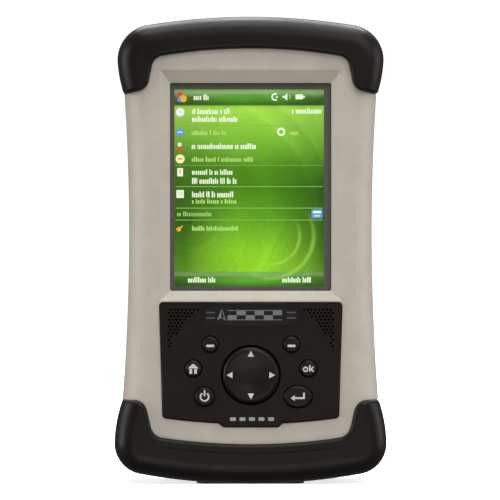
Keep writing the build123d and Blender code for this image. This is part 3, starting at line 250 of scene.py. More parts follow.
def moulded_material(name, colour, roughness, grain_mm, relief, wear_colour=None, wear=0.5, specular=0.5):
    """Moulded plastic or rubber: fine spark texture, faint mottling, handling polish and worn edges."""
    g = Graph(name)
    mottle = g.noise(9.0, detail=4.0, roughness=0.6)
    base = g.mix(g.grey_ramp(mottle, 0.0, 1.0, 0.35, 0.7), colour, tuple(c * 0.90 for c in colour))
    speck = g.grey_ramp(g.noise(grain_mm, detail=1.0), 0.0, 1.0, 0.42, 0.62)
    base = g.mix(g.math("MULTIPLY", speck, 0.25), base, tuple(c * 1.12 for c in colour))
    if wear_colour:
        edge = g.edge_wear()
        patchy = g.grey_ramp(g.noise(3.5, detail=5.0, roughness=0.7), 0.0, 1.0, 0.45, 0.75)
        base = g.mix(g.math("MULTIPLY", g.math("MULTIPLY", edge, patchy), wear), base, wear_colour)
    polish = g.grey_ramp(g.noise(14.0, detail=3.0), roughness - 0.05, roughness + 0.07, 0.3, 0.7)
    normal = g.bump(g.noise(grain_mm, detail=2.0), relief, grain_mm * 0.22)
    return g.surface(Base_Color=base, Roughness=polish, Normal=normal, Specular_IOR_Level=specular)


def metal_material(name, colour, roughness, streak=(1.0, 1.0, 1.0)):
    """Metal with fine directional brushing and slight tarnish."""
    g = Graph(name)
    stretched = g.node("Mapping", {"Vector": g.place(0.25)})
    stretched.inputs["Scale"].default_value = streak
    lines = {"Vector": stretched.outputs["Vector"], "Scale": 1.0, "Detail": 3.0}
    brushing = g.node("TexNoise", lines).outputs["Fac"]
    tarnish = g.grey_ramp(g.noise(4.0, detail=4.0), 0.0, 1.0, 0.4, 0.7)
    base = g.mix(g.math("MULTIPLY", tarnish, 0.35), colour, tuple(c * 0.72 for c in colour))
    rough = g.grey_ramp(brushing, roughness - 0.08, roughness + 0.1)
    return g.surface(
        Base_Color=base, Metallic=1.0, Roughness=rough, Normal=g.bump(brushing, 0.15, 0.02)
    )


def woven_fibre(g, height, colour, relief):
    """Colours threads by their height, with painted shade between them and a painted highlight on their
    crowns, and gives them a soft fuzz.
    """
    fuzz = g.noise(0.22, detail=3.0, roughness=0.7)
    fade = g.grey_ramp(g.noise(12.0, detail=3.0), 0.85, 1.25)
    # painted shade in the low parts of the weave or knit and a painted highlight on the high threads, mixed
    # with random fuzz and fading of the fibre
    fibre_tone_and_thread_shade = g.math("MULTIPLY", g.math("MULTIPLY_ADD", fuzz, 0.45, g.math("MULTIPLY", height, 0.65)), fade)
    base = g.mix(fibre_tone_and_thread_shade, tuple(c * 0.35 for c in colour), tuple(c * 2.1 for c in colour))
    normal = g.bump(height, 0.9, relief, g.bump(fuzz, 0.4, 0.08))
    return g.surface(Base_Color=base, Roughness=0.82, Normal=normal, Sheen_Weight=0.35, Sheen_Roughness=0.4)


def woven_material(name, colour, pitch_along, pitch_across):
    """Woven strip: threads pass over and under in a plain weave, read from the UVs in millimetres."""
    g = Graph(name)
    split = g.node("SeparateXYZ", {"Vector": g.node("UVMap", uv_map="weave").outputs["UV"]})
    along = g.math("MULTIPLY", split.outputs["X"], math.pi / pitch_along)
    across = g.math("MULTIPLY", split.outputs["Y"], math.pi / pitch_across)
    warp = g.math("MULTIPLY", g.math("SINE", along), g.math("SINE", across))
    ridge = g.math("ABSOLUTE", g.math("SINE", across))
    height = g.math("MULTIPLY_ADD", warp, 0.35, g.math("MULTIPLY_ADD", ridge, 0.35, 0.25))
    return woven_fibre(g, height, colour, 0.28)


def knit_material(name, colour, pitch):
    """Spacer knit: small dimples in staggered rows."""
    g = Graph(name)
    split = g.node("SeparateXYZ", {"Vector": g.place(pitch)})
    across = g.math("MULTIPLY", split.outputs["X"], math.pi)
    up = g.math("MULTIPLY", split.outputs["Z"], math.pi)
    one = g.math("MULTIPLY", g.math("SINE", across), g.math("SINE", up))
    two = g.math("MULTIPLY", g.math("COSINE", across), g.math("COSINE", up))
    height = g.math("MAXIMUM", g.math("ABSOLUTE", one), g.math("ABSOLUTE", two))
    return woven_fibre(g, height, colour, 0.35)


MATERIALS = {}


def make_materials():
    """Every finish of the object, by a short name."""
    m = MATERIALS
    m["housing"] = moulded_material(
        "housing_grey", (0.40, 0.365, 0.31), roughness=0.52, grain_mm=0.30, relief=0.30,
        wear_colour=(0.55, 0.52, 0.46), wear=0.45, specular=0.35,
    )
    m["boot"] = moulded_material(
        "boot_rubber", (0.0046, 0.0028, 0.0016), roughness=0.40, grain_mm=0.34, relief=0.30,
        wear_colour=(0.04, 0.034, 0.029), wear=0.35, specular=0.165,
    )
    m["keypad"] = moulded_material(
        "keypad_black", (0.0070, 0.0046, 0.0029), roughness=0.47, grain_mm=0.22, relief=0.22,
        wear_colour=(0.03, 0.027, 0.024), wear=0.25, specular=0.12,
    )
    m["key"] = moulded_material(
        "key_black", (0.0070, 0.0049, 0.0034), roughness=0.38, grain_mm=0.5, relief=0.08,
        wear_colour=(0.022, 0.019, 0.016), wear=0.10, specular=0.15,
    )
    m["stylus"] = moulded_material(
        "stylus_black", (0.016, 0.016, 0.017), roughness=0.35, grain_mm=0.4, relief=0.1,
        wear_colour=(0.06, 0.06, 0.06), wear=0.3,
    )
    # the rest: colour, roughness, grain in millimetres, relief
    m["inner"] = moulded_material("inner_black", (0.020, 0.020, 0.021), 0.55, 0.4, 0.3)
    m["seal"] = moulded_material("seal_black", (0.0085, 0.0075, 0.0065), 0.6, 0.5, 0.2, specular=0.25)
    m["gasket"] = moulded_material("gasket_grey", (0.078, 0.070, 0.060), 0.6, 0.5, 0.2, specular=0.25)
    m["board"] = moulded_material("circuit_green", (0.012, 0.095, 0.035), 0.35, 1.5, 0.2)
    m["socket"] = moulded_material("socket_black", (0.018, 0.018, 0.019), 0.5, 0.5, 0.2)
    m["cell"] = moulded_material("cell_sleeve", (0.03, 0.10, 0.28), 0.3, 1.0, 0.05)
    m["tip"] = moulded_material("stylus_tip", (0.62, 0.60, 0.54), 0.35, 0.6, 0.05)
    m["legend"] = moulded_material("legend_white", (0.49, 0.48, 0.455), 0.5, 0.4, 0.1)
    m["legend_grey"] = moulded_material("legend_grey", (0.26, 0.26, 0.26), 0.5, 0.4, 0.1)
    m["legend_dim"] = moulded_material("legend_dim", (0.125, 0.125, 0.125), 0.5, 0.4, 0.1)
    m["legend_blue"] = moulded_material("legend_blue", (0.040, 0.044, 0.054), 0.5, 0.4, 0.1)
    m["ink"] = moulded_material("label_ink", (0.015, 0.015, 0.015), 0.6, 0.4, 0.1)
    # colour, roughness, how much finer the brushing is along x, y and z
    m["steel"] = metal_material("plain_steel", (0.52, 0.51, 0.49), 0.34, (1.0, 1.0, 6.0))
    m["dark_steel"] = metal_material("dark_steel", (0.10, 0.10, 0.105), 0.42, (6.0, 1.0, 1.0))
    m["mesh"] = metal_material("mesh_dark", (0.015, 0.015, 0.016), 0.6)
    m["gold"] = metal_material("contact_gold", (0.86, 0.60, 0.22), 0.25)
    m["tin"] = metal_material("tin_can", (0.62, 0.62, 0.60), 0.4, (1.0, 1.0, 4.0))
    m["badge"] = metal_material("badge_strip", (0.021, 0.0195, 0.0195), 0.46, (8.0, 1.0, 1.0))
    m["label"] = metal_material("label_foil", (0.42, 0.42, 0.43), 0.45, (6.0, 1.0, 1.0))
    # colour, thread pitch in millimetres
    m["webbing"] = woven_material("webbing_black", (0.020, 0.020, 0.021), 1.5, 1.1)
    m["binding"] = woven_material("binding_tape", (0.016, 0.016, 0.017), 0.8, 0.8)
    m["elastic"] = woven_material("elastic_black", (0.026, 0.026, 0.028), 0.7, 2.2)
    m["thread"] = woven_material("thread_grey", (0.10, 0.10, 0.10), 0.4, 0.4)
    m["pad"] = knit_material("pad_knit", (0.030, 0.030, 0.032), 1.3)
    m["film"] = film_material()


NODE_MATERIALS = {
    "housing": ["front_housing", "rear_housing"],
    "boot": ["top_boot", "bottom_boot"],
    "inner": [
        "card_cap", "power_module_case", "power_module_lid", "memory_chips", "pad_yoke", "strap_brackets",
    ],
    "keypad": ["keypad_plate"],
    "key": [
        "left_soft_key", "right_soft_key", "menu_key", "ok_key", "power_key", "enter_key", "direction_pad",
    ],
    "gasket": ["screen_gasket"],
    "seal": ["housing_seal", "card_bay_seal", "keypad_membrane", "vent_plug"],
    "steel": [
        "serial_port_shell", "serial_jackscrews", "usb_socket", "display_frame", "dome_switches",
        "pad_spider", "strap_pins",
    ],
    "dark_steel": ["top_screws", "bottom_screws", "housing_screws", "bracket_screws"],
    "mesh": ["grille_meshes"],
    "gold": ["dock_pins", "module_contacts", "card_contacts", "serial_port_pins"],
    "tin": ["shield_cans"],
    "board": ["main_board", "keypad_board", "port_board", "antenna"],
    "socket": [
        "board_connectors", "dock_connector", "card_bay", "serial_port_insert", "charge_jack", "speaker",
        "microphone",
    ],
    "cell": ["battery_cells"],
    "badge": ["badge_plate"],
    "stylus": ["stylus_barrel"],
    "tip": ["stylus_tip"],
    "film": ["touch_panel"],
}


def paint(obj, material):
    """Gives an object this one material."""
    obj.data.materials.clear()
    obj.data.materials.append(material)


def paint_nodes():
    """Gives each CAD node its finish. The picture on the screen comes later."""
    for key, names in NODE_MATERIALS.items():
        for name in names:
            paint(nodes[name], MATERIALS[key])


# ---------------------------------------------------------------- places, read from the shared frame
def box_mm(node):
    """The two corners of a CAD node's box, in millimetres."""
    return [[c / MM for c in corner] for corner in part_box(node)]


def middle_of(node):
    """The middle of a CAD node seen from the front: (x, z) in millimetres."""
    low, high = box_mm(node)
    return (low[0] + high[0]) / 2, (low[2] + high[2]) / 2


def window_of(node, border):
    """The opening in a flat frame seen from the front: left, right, foot and top in millimetres."""
    low, high = box_mm(node)
    corners = [v.co / MM for v in nodes[node].data.vertices]
    inner = [c for c in corners if low[0] + border < c.x < high[0] - border]
    inner = [c for c in inner if low[2] + border < c.z < high[2] - border]
    across, up = [c.x for c in inner], [c.z for c in inner]
    return min(across), max(across), min(up), max(up)


# ---------------------------------------------------------------- shapes, in millimetres
def box_outline(x, z, width, height):
    """The corners of a rectangle with its middle at (x, z)."""
    signs = ((-1, -1), (1, -1), (1, 1), (-1, 1))
    return [(x + a * width / 2, z + b * height / 2) for a, b in signs]


def rounded_outline(x, z, width, height, radius, steps=5):
    """A rectangle with round corners and its middle at (x, z)."""
    points = []
    for a, b, start in ((1, -1, -90), (1, 1, 0), (-1, 1, 90), (-1, -1, 180)):
        corner = (x + a * (width / 2 - radius), z + b * (height / 2 - radius))
        points += arc_points(*corner, radius, start, start + 90, steps)
    return points


def arc_points(x, z, radius, start, end, steps=20):
    """Points along an arc, from the start angle to the end angle in degrees."""
    angles = [math.radians(start + (end - start) * i / steps) for i in range(steps + 1)]
    return [(x + radius * math.cos(a), z + radius * math.sin(a)) for a in angles]


def disc_outline(x, z, radius):
    """A round disc."""
    return arc_points(x, z, radius, 0, 360, 24)[:-1]


def stroke_outline(points, width):
    """A line of even width along the points, with mitred corners."""
    line = [Vector(p) for p in points]
    left, right = [], []
    for i, point in enumerate(line):
        before = (point - line[i - 1]).normalized() if i else (line[1] - line[0]).normalized()
        after = (line[i + 1] - point).normalized() if i + 1 < len(line) else before
        along = (before + after).normalized()
        side = Vector((-along.y, along.x)) * (width / 2 / max(0.4, along.dot(before)))
        left.append(tuple(point + side))
        right.append(tuple(point - side))
    return left + right[::-1]


def frame_outlines(x, z, width, height, line):
    """The four sides of an empty box."""
    return [
        box_outline(x, z + height / 2, width + line, line),
        box_outline(x, z - height / 2, width + line, line),
        box_outline(x - width / 2, z, line, height - line),
        box_outline(x + width / 2, z, line, height - line),
    ]


def finish_piece(name, bm, materials, body, smooth=False):
    """Turns a bmesh in millimetres into a piece that rides on a body."""
    bmesh.ops.recalc_face_normals(bm, faces=bm.faces[:])
    for face in bm.faces:
        face.smooth = smooth
    mesh = bpy.data.meshes.new(name)
    bm.to_mesh(mesh)
    bm.free()
    mesh.transform(Matrix.Scale(MM, 4))
    for material in materials:
        mesh.materials.append(material)
    piece = bpy.data.objects.new(name, mesh)
    bpy.context.collection.objects.link(piece)
    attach(piece, body)
    return piece


def slab(bm, outline, front, depth, index):
    """A flat plate facing the user, its front at y = front, in the material of this index."""
    near = [bm.verts.new((x, front, z)) for x, z in outline]
    far = [bm.verts.new((x, front + depth, z)) for x, z in outline]
    faces = [bm.faces.new(near), bm.faces.new(far[::-1])]
    for i in range(len(near)):
        j = (i + 1) % len(near)
        faces.append(bm.faces.new((near[j], near[i], far[i], far[j])))
    for face in faces:
        face.material_index = index


def bridge(bm, near, far):
    """Faces between two closed rings of points."""
    for i in range(len(near)):
        j = (i + 1) % len(near)
        bm.faces.new((near[i], near[j], far[j], far[i]))


def surface_of(node):
    """A CAD node's surface in millimetres, to cast rays at."""
    mesh = nodes[node].data
    return BVHTree.FromPolygons([v.co / MM for v in mesh.vertices], [p.vertices[:] for p in mesh.polygons])


PRINT_LIFT, PRINT_DEPTH = 0.025, 0.09  # ink stands this far above its surface, and is this thick
CLEAR_OF_ALL = 60.0  # further from the middle plane than any surface, in millimetres


def printed(name, outlines, node, material, body, slot, facing=1, lift=PRINT_LIFT):
    """Ink or a label laid on a CAD node: each outline follows the surface under it."""
    surface = surface_of(node)
    bm = bmesh.new()
    for outline in outlines:
        bm.faces.new([bm.verts.new((x, -CLEAR_OF_ALL * facing, z)) for x, z in outline])
    bm.normal_update()
    bmesh.ops.triangulate(bm, faces=bm.faces[:])
    bmesh.ops.subdivide_edges(bm, edges=bm.edges[:], cuts=3, use_grid_fill=True)
    for vert in bm.verts:
        hit = surface.ray_cast(vert.co, Vector((0, facing, 0)))[0]
        vert.co.y = hit.y - facing * lift
    sunk = bmesh.ops.extrude_face_region(bm, geom=bm.faces[:])
    for part in sunk["geom"]:
        if isinstance(part, bmesh.types.BMVert):
            part.co.y += facing * PRINT_DEPTH
    return finish_piece(name, bm, [material], body)


# ---------------------------------------------------------------- the picture on the screen
SCREEN_LEFT, SCREEN_RIGHT, SCREEN_FOOT, SCREEN_TOP = window_of("screen_gasket", 2.0)
SCREEN_WIDTH, SCREEN_HEIGHT = SCREEN_RIGHT - SCREEN_LEFT, SCREEN_TOP - SCREEN_FOOT
PICTURE_FRONT = box_mm("display_panel")[0][1]
DOT_RATE = 28.6  # radians of the dot pattern per millimetre
RING_X, RING_Z = 34.0, 18.1  # middle of the rings of light, from the screen's bottom left corner
SCREEN_GLOW = 0.99
MARK_RISE, MARK_STEP, MARK_GAP = 0.04, 0.0015, 0.005  # each mark stands a little higher than the last

# the picture's colours up the middle and up the sides: share of the height, then red, green, blue
MIDDLE_STOPS = [
    (0.000, 58, 124, 30),  # bottom bar
    (0.030, 103, 178, 52),
    (0.050, 108, 172, 60),
    (0.056, 134, 190, 106),  # pale line over it
    (0.072, 128, 186, 96),
    (0.078, 158, 228, 40),  # lime glow
    (0.170, 152, 224, 44),
    (0.330, 107, 178, 34),
    (0.500, 76, 140, 14),  # deep middle
    (0.600, 82, 148, 18),
    (0.740, 134, 202, 58),
    (0.905, 176, 236, 80),  # pale top of the list
    (0.916, 164, 216, 84),
    (0.923, 46, 98, 26),  # title bar, with a light upper edge
    (0.950, 78, 160, 42),
    (0.975, 112, 168, 82),
    (0.985, 152, 198, 126),
    (1.000, 128, 180, 104),
]
SIDE_STOPS = [
    (0.000, 40, 84, 20),
    (0.050, 74, 124, 38),
    (0.056, 120, 160, 96),
    (0.072, 112, 152, 84),
    (0.078, 88, 144, 30),
    (0.200, 60, 112, 18),
    (0.330, 48, 96, 12),
    (0.500, 46, 96, 16),
    (0.600, 62, 120, 22),
    (0.740, 118, 178, 54),
    (0.905, 164, 220, 86),
    (0.916, 156, 212, 80),
    (0.923, 40, 74, 22),
    (0.960, 70, 104, 42),
    (0.985, 138, 178, 112),
    (1.000, 120, 160, 96),
]


def rgb(red, green, blue):
    """Screen colour values, 0 to 255, as linear light."""
    shares = [c / 255 for c in (red, green, blue)]
    return tuple(s / 12.92 if s < 0.04045 else ((s + 0.055) / 1.055) ** 2.4 for s in shares)


def gradient(g, rise, stops):
    """A ramp up the screen, from stops in screen colour values."""
    return g.ramp(rise, [(share, rgb(*values)) for share, *values in stops])


def glow_ring(g, across, up, radius, width):
    """1 along the lower right of a circle, fading out at its ends."""
    dx = g.math("SUBTRACT", across, RING_X)
    dz = g.math("SUBTRACT", up, RING_Z)
    reach = g.math("SQRT", g.math("ADD", g.math("MULTIPLY", dx, dx), g.math("MULTIPLY", dz, dz)))
    off = g.math("DIVIDE", g.math("ABSOLUTE", g.math("SUBTRACT", reach, radius)), width)
    line = g.math("SUBTRACT", 1.0, off, clamp=True)
    lower_right = g.math("DIVIDE", g.math("SUBTRACT", dx, dz), reach)
    return g.math("MULTIPLY", line, g.math("MULTIPLY_ADD", lower_right, 1.0, -0.25, clamp=True))


def picture_material():
    """A green desktop: dark title bar, pale top, deep middle, lime glow low down, two rings of light."""
    g = Graph("screen_picture")
    split = g.node("SeparateXYZ", {"Vector": g.place(1.0)})
    across = g.math("SUBTRACT", split.outputs["X"], SCREEN_LEFT)
    up = g.math("SUBTRACT", split.outputs["Z"], SCREEN_FOOT)
    rise = g.math("DIVIDE", up, SCREEN_HEIGHT)
    middle = gradient(g, rise, MIDDLE_STOPS)
    side = gradient(g, rise, SIDE_STOPS)
    swing = g.math("ABSOLUTE", g.math("MULTIPLY_ADD", across, 2 / SCREEN_WIDTH, -1.05))
    colour = g.mix(g.grey_ramp(swing, 0.0, 1.0, 0.20, 0.92), middle, side)
    rings = g.math(
        "ADD",
        glow_ring(g, across, up, 10.3, 0.9),
        glow_ring(g, across, up, 15.2, 1.1),
    )
    colour = g.mix(g.math("MULTIPLY", rings, 0.5, clamp=True), colour, rgb(190, 245, 110))
    swirl = g.node("TexNoise", {"Vector": g.place(22.0), "Scale": 1.0, "Detail": 1.0, "Distortion": 1.6})
    colour = g.mix(g.grey_ramp(swirl.outputs["Fac"], 0.0, 0.04), colour, rgb(215, 250, 110))
    columns, rows = (g.math("SINE", g.math("MULTIPLY", way, DOT_RATE)) for way in (across, up))
    dots = g.math("MULTIPLY", columns, rows)
    colour = g.mix(g.math("MULTIPLY_ADD", dots, 0.03, 0.03), colour, (0.0, 0.0, 0.0))
    return lit_surface(g, colour)


def lit_surface(g, colour):
    """A surface that glows in its own colour, as a backlit display does."""
    dark = g.mix(0.8, colour, (0.0, 0.0, 0.0))
    return g.surface(
        Base_Color=dark,
        Emission_Color=colour,
        Emission_Strength=SCREEN_GLOW,
        Roughness=0.5,
        Specular_IOR_Level=0.12,
    )


def ui_material(name, colour):
    """One colour of the marks on the screen, with the same fine dots as the picture."""
    g = Graph(name)
    dots = g.noise(0.35, detail=1.0)
    return lit_surface(g, g.mix(g.grey_ramp(dots, 0.0, 0.12), colour, tuple(c * 0.7 for c in colour)))


UI_COLOURS = {
    "white": rgb(232, 246, 214),
    "soft": rgb(172, 212, 116),
    "pale": rgb(150, 196, 104),
    "blue": rgb(86, 148, 220),
    "lilac": rgb(226, 214, 240),
    "red": rgb(206, 72, 44),
    "cream": rgb(238, 232, 170),
    "gold": rgb(222, 170, 50),
    "line": rgb(120, 176, 84),
}
UI_ORDER = list(UI_COLOURS)


def row_of_blocks(left, right, top, height, rng):
    """Blocks in the place of a line of writing: uneven widths, a few taller ones and gaps between words."""
    outlines = []
    x = left
    while x < right - 0.4:
        width = min(rng.uniform(0.30, 0.62), right - x)
        tall = rng.random() < 0.3
        block = height if tall else height * 0.72
        outlines.append(box_outline(x + width / 2, top - height + block / 2, width, block))
        x += width + (0.8 if rng.random() < 0.13 else 0.24)
    return outlines


# rows of blocks, in millimetres from the screen's top left corner: colour, left, right, top, height
UI_ROWS = [
    ("white", 6.8, 12.3, 1.7, 2.0),
    ("white", 6.2, 19.4, 6.7, 2.0),
    ("white", 6.2, 22.2, 9.4, 2.0),
    ("white", 41.6, 52.2, 6.5, 2.0),
    ("soft", 6.1, 18.6, 14.4, 1.7),
    ("soft", 41.0, 44.2, 14.4, 1.7),
    ("white", 6.1, 29.2, 19.0, 2.0),
    ("soft", 6.1, 27.8, 23.8, 1.7),
    ("white", 6.2, 20.7, 28.2, 1.9),
    ("white", 6.2, 22.5, 31.2, 2.1),
    ("white", 6.2, 21.6, 36.0, 2.1),
    ("soft", 6.2, 22.0, 38.7, 1.6),
    ("pale", 0.9, 13.3, 43.1, 1.7),
    ("soft", 6.2, 22.8, 48.2, 1.7),
    ("white", 4.8, 15.2, 66.3, 1.9),
    ("white", 38.1, 48.2, 66.3, 1.9),
]


def ui_icons():
    """(colour, outline) for the small pictures, in millimetres from the screen's top left corner."""
    disc, box, stroke = disc_outline, box_outline, stroke_outline
    return [
        ("red", disc(1.9, -2.0, 1.15)),
        ("gold", disc(3.1, -3.2, 1.3)),
        ("blue", disc(1.7, -3.6, 0.75)),
        # signal, loudspeaker and battery
        ("white", stroke(arc_points(35.6, -2.6, 1.1, 60, 300), 0.5)),
        ("white", box(36.2, -2.6, 0.6, 0.6)),
        ("white", [(38.2, -2.9), (38.2, -2.2), (38.9, -2.2), (39.9, -1.2), (39.9, -3.9), (38.9, -2.9)]),
        ("soft", stroke(arc_points(39.9, -2.55, 1.0, -45, 45, 8), 0.3)),
        ("white", box(44.1, -2.55, 2.6, 1.7)),
        ("white", box(45.8, -2.55, 0.5, 0.8)),
        # clock, wireless, person, letter, notes, key, button
        ("lilac", disc(2.0, -8.0, 1.55)),
        ("white", disc(2.0, -8.0, 1.1)),
        ("blue", stroke([(2.0, -7.2), (2.0, -8.0), (2.6, -8.3)], 0.25)),
        ("blue", rounded_outline(2.0, -15.2, 2.7, 2.4, 0.6)),
        ("white", stroke(arc_points(2.0, -15.8, 0.9, 30, 150, 8), 0.3)),
        ("white", stroke(arc_points(37.7, -14.9, 1.15, 0, 359), 0.62)),
        ("white", disc(1.8, -19.4, 0.7)),
        ("red", [(1.0, -21.7), (1.1, -20.6), (2.0, -20.1), (2.9, -20.6), (3.0, -21.7)]),
        ("cream", disc(2.0, -24.5, 1.6)),
        ("red", box(2.0, -24.5, 1.6, 0.4)),
        ("white", box(2.0, -29.2, 2.0, 2.9)),
        ("red", box(2.0, -29.0, 0.35, 1.5)),
        ("white", box(2.0, -36.9, 2.6, 2.8)),
        ("soft", box(2.0, -37.1, 1.8, 0.3)),
        ("soft", box(2.0, -36.3, 1.8, 0.3)),
        ("gold", disc(1.5, -49.4, 0.8)),
        ("gold", stroke([(1.7, -49.2), (2.9, -48.1)], 0.5)),
        ("blue", rounded_outline(50.4, -43.9, 3.9, 3.1, 0.4)),
        ("white", box(50.4, -43.3, 2.8, 0.8)),
        ("cream", box(50.4, -44.6, 2.0, 0.45)),
        # rules between the lists
        ("line", box(26.4, -12.7, 52.0, 0.16)),
        ("line", box(26.4, -26.8, 52.0, 0.16)),
        ("line", box(26.4, -34.3, 52.0, 0.30)),
        ("line", box(26.4, -41.9, 52.0, 0.35)),
        ("line", box(26.4, -46.1, 52.0, 0.30)),
    ]


def make_screen():
    """The picture, and the marks that lie on it as thin plates."""
    paint(nodes["display_panel"], picture_material())
    rng = random.Random(5)
    bm = bmesh.new()
    marks = []
    for colour, left, right, top, height in UI_ROWS:
        marks += [(colour, outline) for outline in row_of_blocks(left, right, -top, height, rng)]
    for layer, (colour, outline) in enumerate(marks + ui_icons()):
        placed = [(SCREEN_LEFT + x, SCREEN_TOP + z) for x, z in outline]
        rise = MARK_RISE + MARK_STEP * layer
        slab(bm, placed, PICTURE_FRONT - rise, rise - MARK_GAP, UI_ORDER.index(colour))
    materials = [ui_material("ui_" + name, colour) for name, colour in UI_COLOURS.items()]
    finish_piece("screen_marks", bm, materials, "main_unit")


def film_material():
    """The clear touch film: mostly see-through, a soft sheen and faint smudges."""
    g = Graph("touch_film")
    clear = g.node("BsdfTransparent", {"Color": (0.97, 0.98, 0.97, 1.0)})
    smudge = g.grey_ramp(g.noise(11.0, detail=5.0, roughness=0.65), 0.10, 0.26, 0.35, 0.75)
    sheen = g.node("BsdfGlossy", {"Color": (1.0, 1.0, 1.0, 1.0), "Roughness": smudge})
    share = g.math("MULTIPLY", g.node("Fresnel", {"IOR": 1.38}).outputs["Fac"], 0.3)
    mixed = g.node("MixShader", {0: share, 1: clear.outputs["BSDF"], 2: sheen.outputs["BSDF"]})
    return g.finish(mixed.outputs["Shader"])


# ---------------------------------------------------------------- keys, badge and label
def arrow_outline(x, z, size, turn):
    """A triangle pointing up, turned anticlockwise by quarter turns."""
    points = [(0.0, 0.58), (-0.56, -0.46), (0.56, -0.46)]
    for _ in range(turn):
        points = [(-b, a) for a, b in points]
    return [(x + size * a, z + size * b) for a, b in points]


def legend(key, outlines):
    """Prints a white legend on a key, with which it moves."""
    printed(key + "_mark", outlines, key, MATERIALS["legend"], key, "key_black")


def make_legends():
    """Bars, a house, ok, power and return signs, four arrows and the bars on the plate's tab."""
    for key in ("left_soft_key", "right_soft_key"):
        x, z = middle_of(key)
        legend(key, [rounded_outline(x, z - 0.5, 2.8, 0.85, 0.3)])
    x, z = middle_of("menu_key")
    legend(
        "menu_key",
        [
            [(x - 1.9, z + 0.1), (x, z + 1.8), (x + 1.9, z + 0.1)],
            box_outline(x - 0.85, z - 0.95, 0.95, 1.7),
            box_outline(x + 0.85, z - 0.95, 0.95, 1.7),
        ],
    )
    x, z = middle_of("ok_key")
    legend(
        "ok_key",
        [
            stroke_outline(arc_points(x - 1.05, z - 0.25, 0.72, 0, 359), 0.5),
            box_outline(x + 0.45, z + 0.12, 0.5, 2.3),
            stroke_outline([(x + 1.75, z + 0.6), (x + 0.75, z - 0.25), (x + 1.85, z - 1.0)], 0.5),
        ],
    )
    x, z = middle_of("power_key")
    legend(
        "power_key",
        [
            stroke_outline(arc_points(x, z, 1.45, 125, 415, 28), 0.55),
            box_outline(x, z + 1.25, 0.55, 2.1),
        ],
    )
    x, z = middle_of("enter_key")
    legend(
        "enter_key",
        [
            [(x - 2.6, z - 0.5), (x - 1.1, z - 1.5), (x - 1.1, z + 0.5)],
            stroke_outline([(x - 1.2, z - 0.5), (x + 2.1, z - 0.5), (x + 2.1, z + 1.4)], 0.62),
        ],
    )
    x, z = middle_of("direction_pad")
    reach, size = 7.4, 2.0
    arrows = [arrow_outline(x, z + reach, size, 0), arrow_outline(x - reach, z, size, 1)]
    arrows += [arrow_outline(x, z - reach, size, 2), arrow_outline(x + reach, z, size, 3)]
    printed("direction_marks", arrows, "direction_pad", MATERIALS["legend"], "direction_pad", "key_black")
    x, z = middle_of("keypad_plate")[0] + 0.4, box_mm("keypad_plate")[0][2] + 2.9
    pitch = 3.35
    marks = [rounded_outline(x + pitch * i, z, 2.1, 1.25, 0.3) for i in range(-2, 3)]
    printed("tab_marks", marks, "keypad_plate", MATERIALS["legend_grey"], "main_unit", "keypad_black")


def make_badge():
    """A map scale bar with a north arrow, and plain rules at both ends."""
    x, z = middle_of("badge_plate")
    z += 0.5
    count, wide, high = 6, 3.2, 1.5
    scale_x = x + 1.4
    bars = []
    for i in range(count):
        row = high / 2 if i % 2 else -high / 2
        bars.append(box_outline(scale_x + wide * (i - (count - 1) / 2), z + row, wide, high))
    for row in (-1.65, 1.65):
        bars.append(box_outline(scale_x, z + row, wide * count, 0.25))
    # the arrow: its left half is full, its right half is an outline
    bars.append([(x - 10.4, z + 2.1), (x - 11.9, z - 1.8), (x - 10.4, z - 1.0)])
    bars.append(stroke_outline([(x - 10.2, z + 1.9), (x - 8.9, z - 1.7), (x - 10.2, z - 0.9)], 0.3))
    printed("badge_scale", bars, "badge_plate", MATERIALS["legend_dim"], "main_unit", "badge_metal")
    rules = [box_outline(x + side * 14.2, z + row, 3.2, 0.5) for side in (-1, 1) for row in (-0.95, 0.95)]
    printed("badge_rules", rules, "badge_plate", MATERIALS["legend_blue"], "main_unit", "badge_metal")


def make_label():
    """A plain rating label on the back of the battery boot: blocks for writing and a row of bars."""
    x, z = middle_of("bottom_boot")
    width, height, margin = 46.0, 20.0, 2.5
    base = [rounded_outline(x, z, width, height, 1.6)]
    behind = {"body": "power_module", "slot": "inner_plastic", "facing": -1}
    printed("rating_label", base, "bottom_boot", MATERIALS["label"], lift=0.05, **behind)
    rng = random.Random(11)
    marks = []
    left = margin - width / 2
    for i, right in enumerate((8.0, 2.0, 5.5, -3.0)):
        marks += row_of_blocks(left, right, z + 7.6 - 2.5 * i, 1.2, rng)
    at, last = left, 9.0
    while at < last:
        bar = rng.choice((0.3, 0.3, 0.55, 0.8))
        marks.append(box_outline(at + bar / 2, z - 5.4, bar, 4.6))
        at += bar + rng.choice((0.3, 0.45, 0.7))
    marks += frame_outlines(16.3, z - 0.1, 8.6, 15.0, 0.3)
    mirrored = [[(-a, b) for a, b in outline] for outline in marks]
    printed("label_marks", mirrored, "bottom_boot", MATERIALS["ink"], lift=0.08, **behind)


# ---------------------------------------------------------------- hand strap and stylus loops
WEBBING_WIDTH, WEBBING_THICKNESS = 25.0, 1.6
STRAP_RADIUS = 97.5  # of the webbing over the hand
PAD_HALF_WIDTH, PAD_HALF_RUN, PAD_HALF_THICKNESS = 16.8, 23.8, 2.0
PAD_MIDDLE = 94.7  # radius of the middle of the pad's thickness
PAD_CORNER = 6.0
SEAM = 0.885  # the seam's place, as a share of the way out to the pad's rim
SEAM_DEPTH, SEAM_WIDTH = 0.55, 0.022
KEEPER_WIDTH, KEEPER_THICKNESS = 8.0, 0.8
LOOP_WIDTH, LOOP_THICKNESS, LOOP_RADIUS = 9.0, 0.85, 3.78
STRAP_Y = box_mm("strap_webbing")[1][1] - STRAP_RADIUS - WEBBING_THICKNESS / 2
PIN_LOW, PIN_HIGH = box_mm("strap_pins")
STRAP_Z = (PIN_LOW[2] + PIN_HIGH[2]) / 2
PIN_Y = (PIN_LOW[1] + PIN_HIGH[1]) / 2
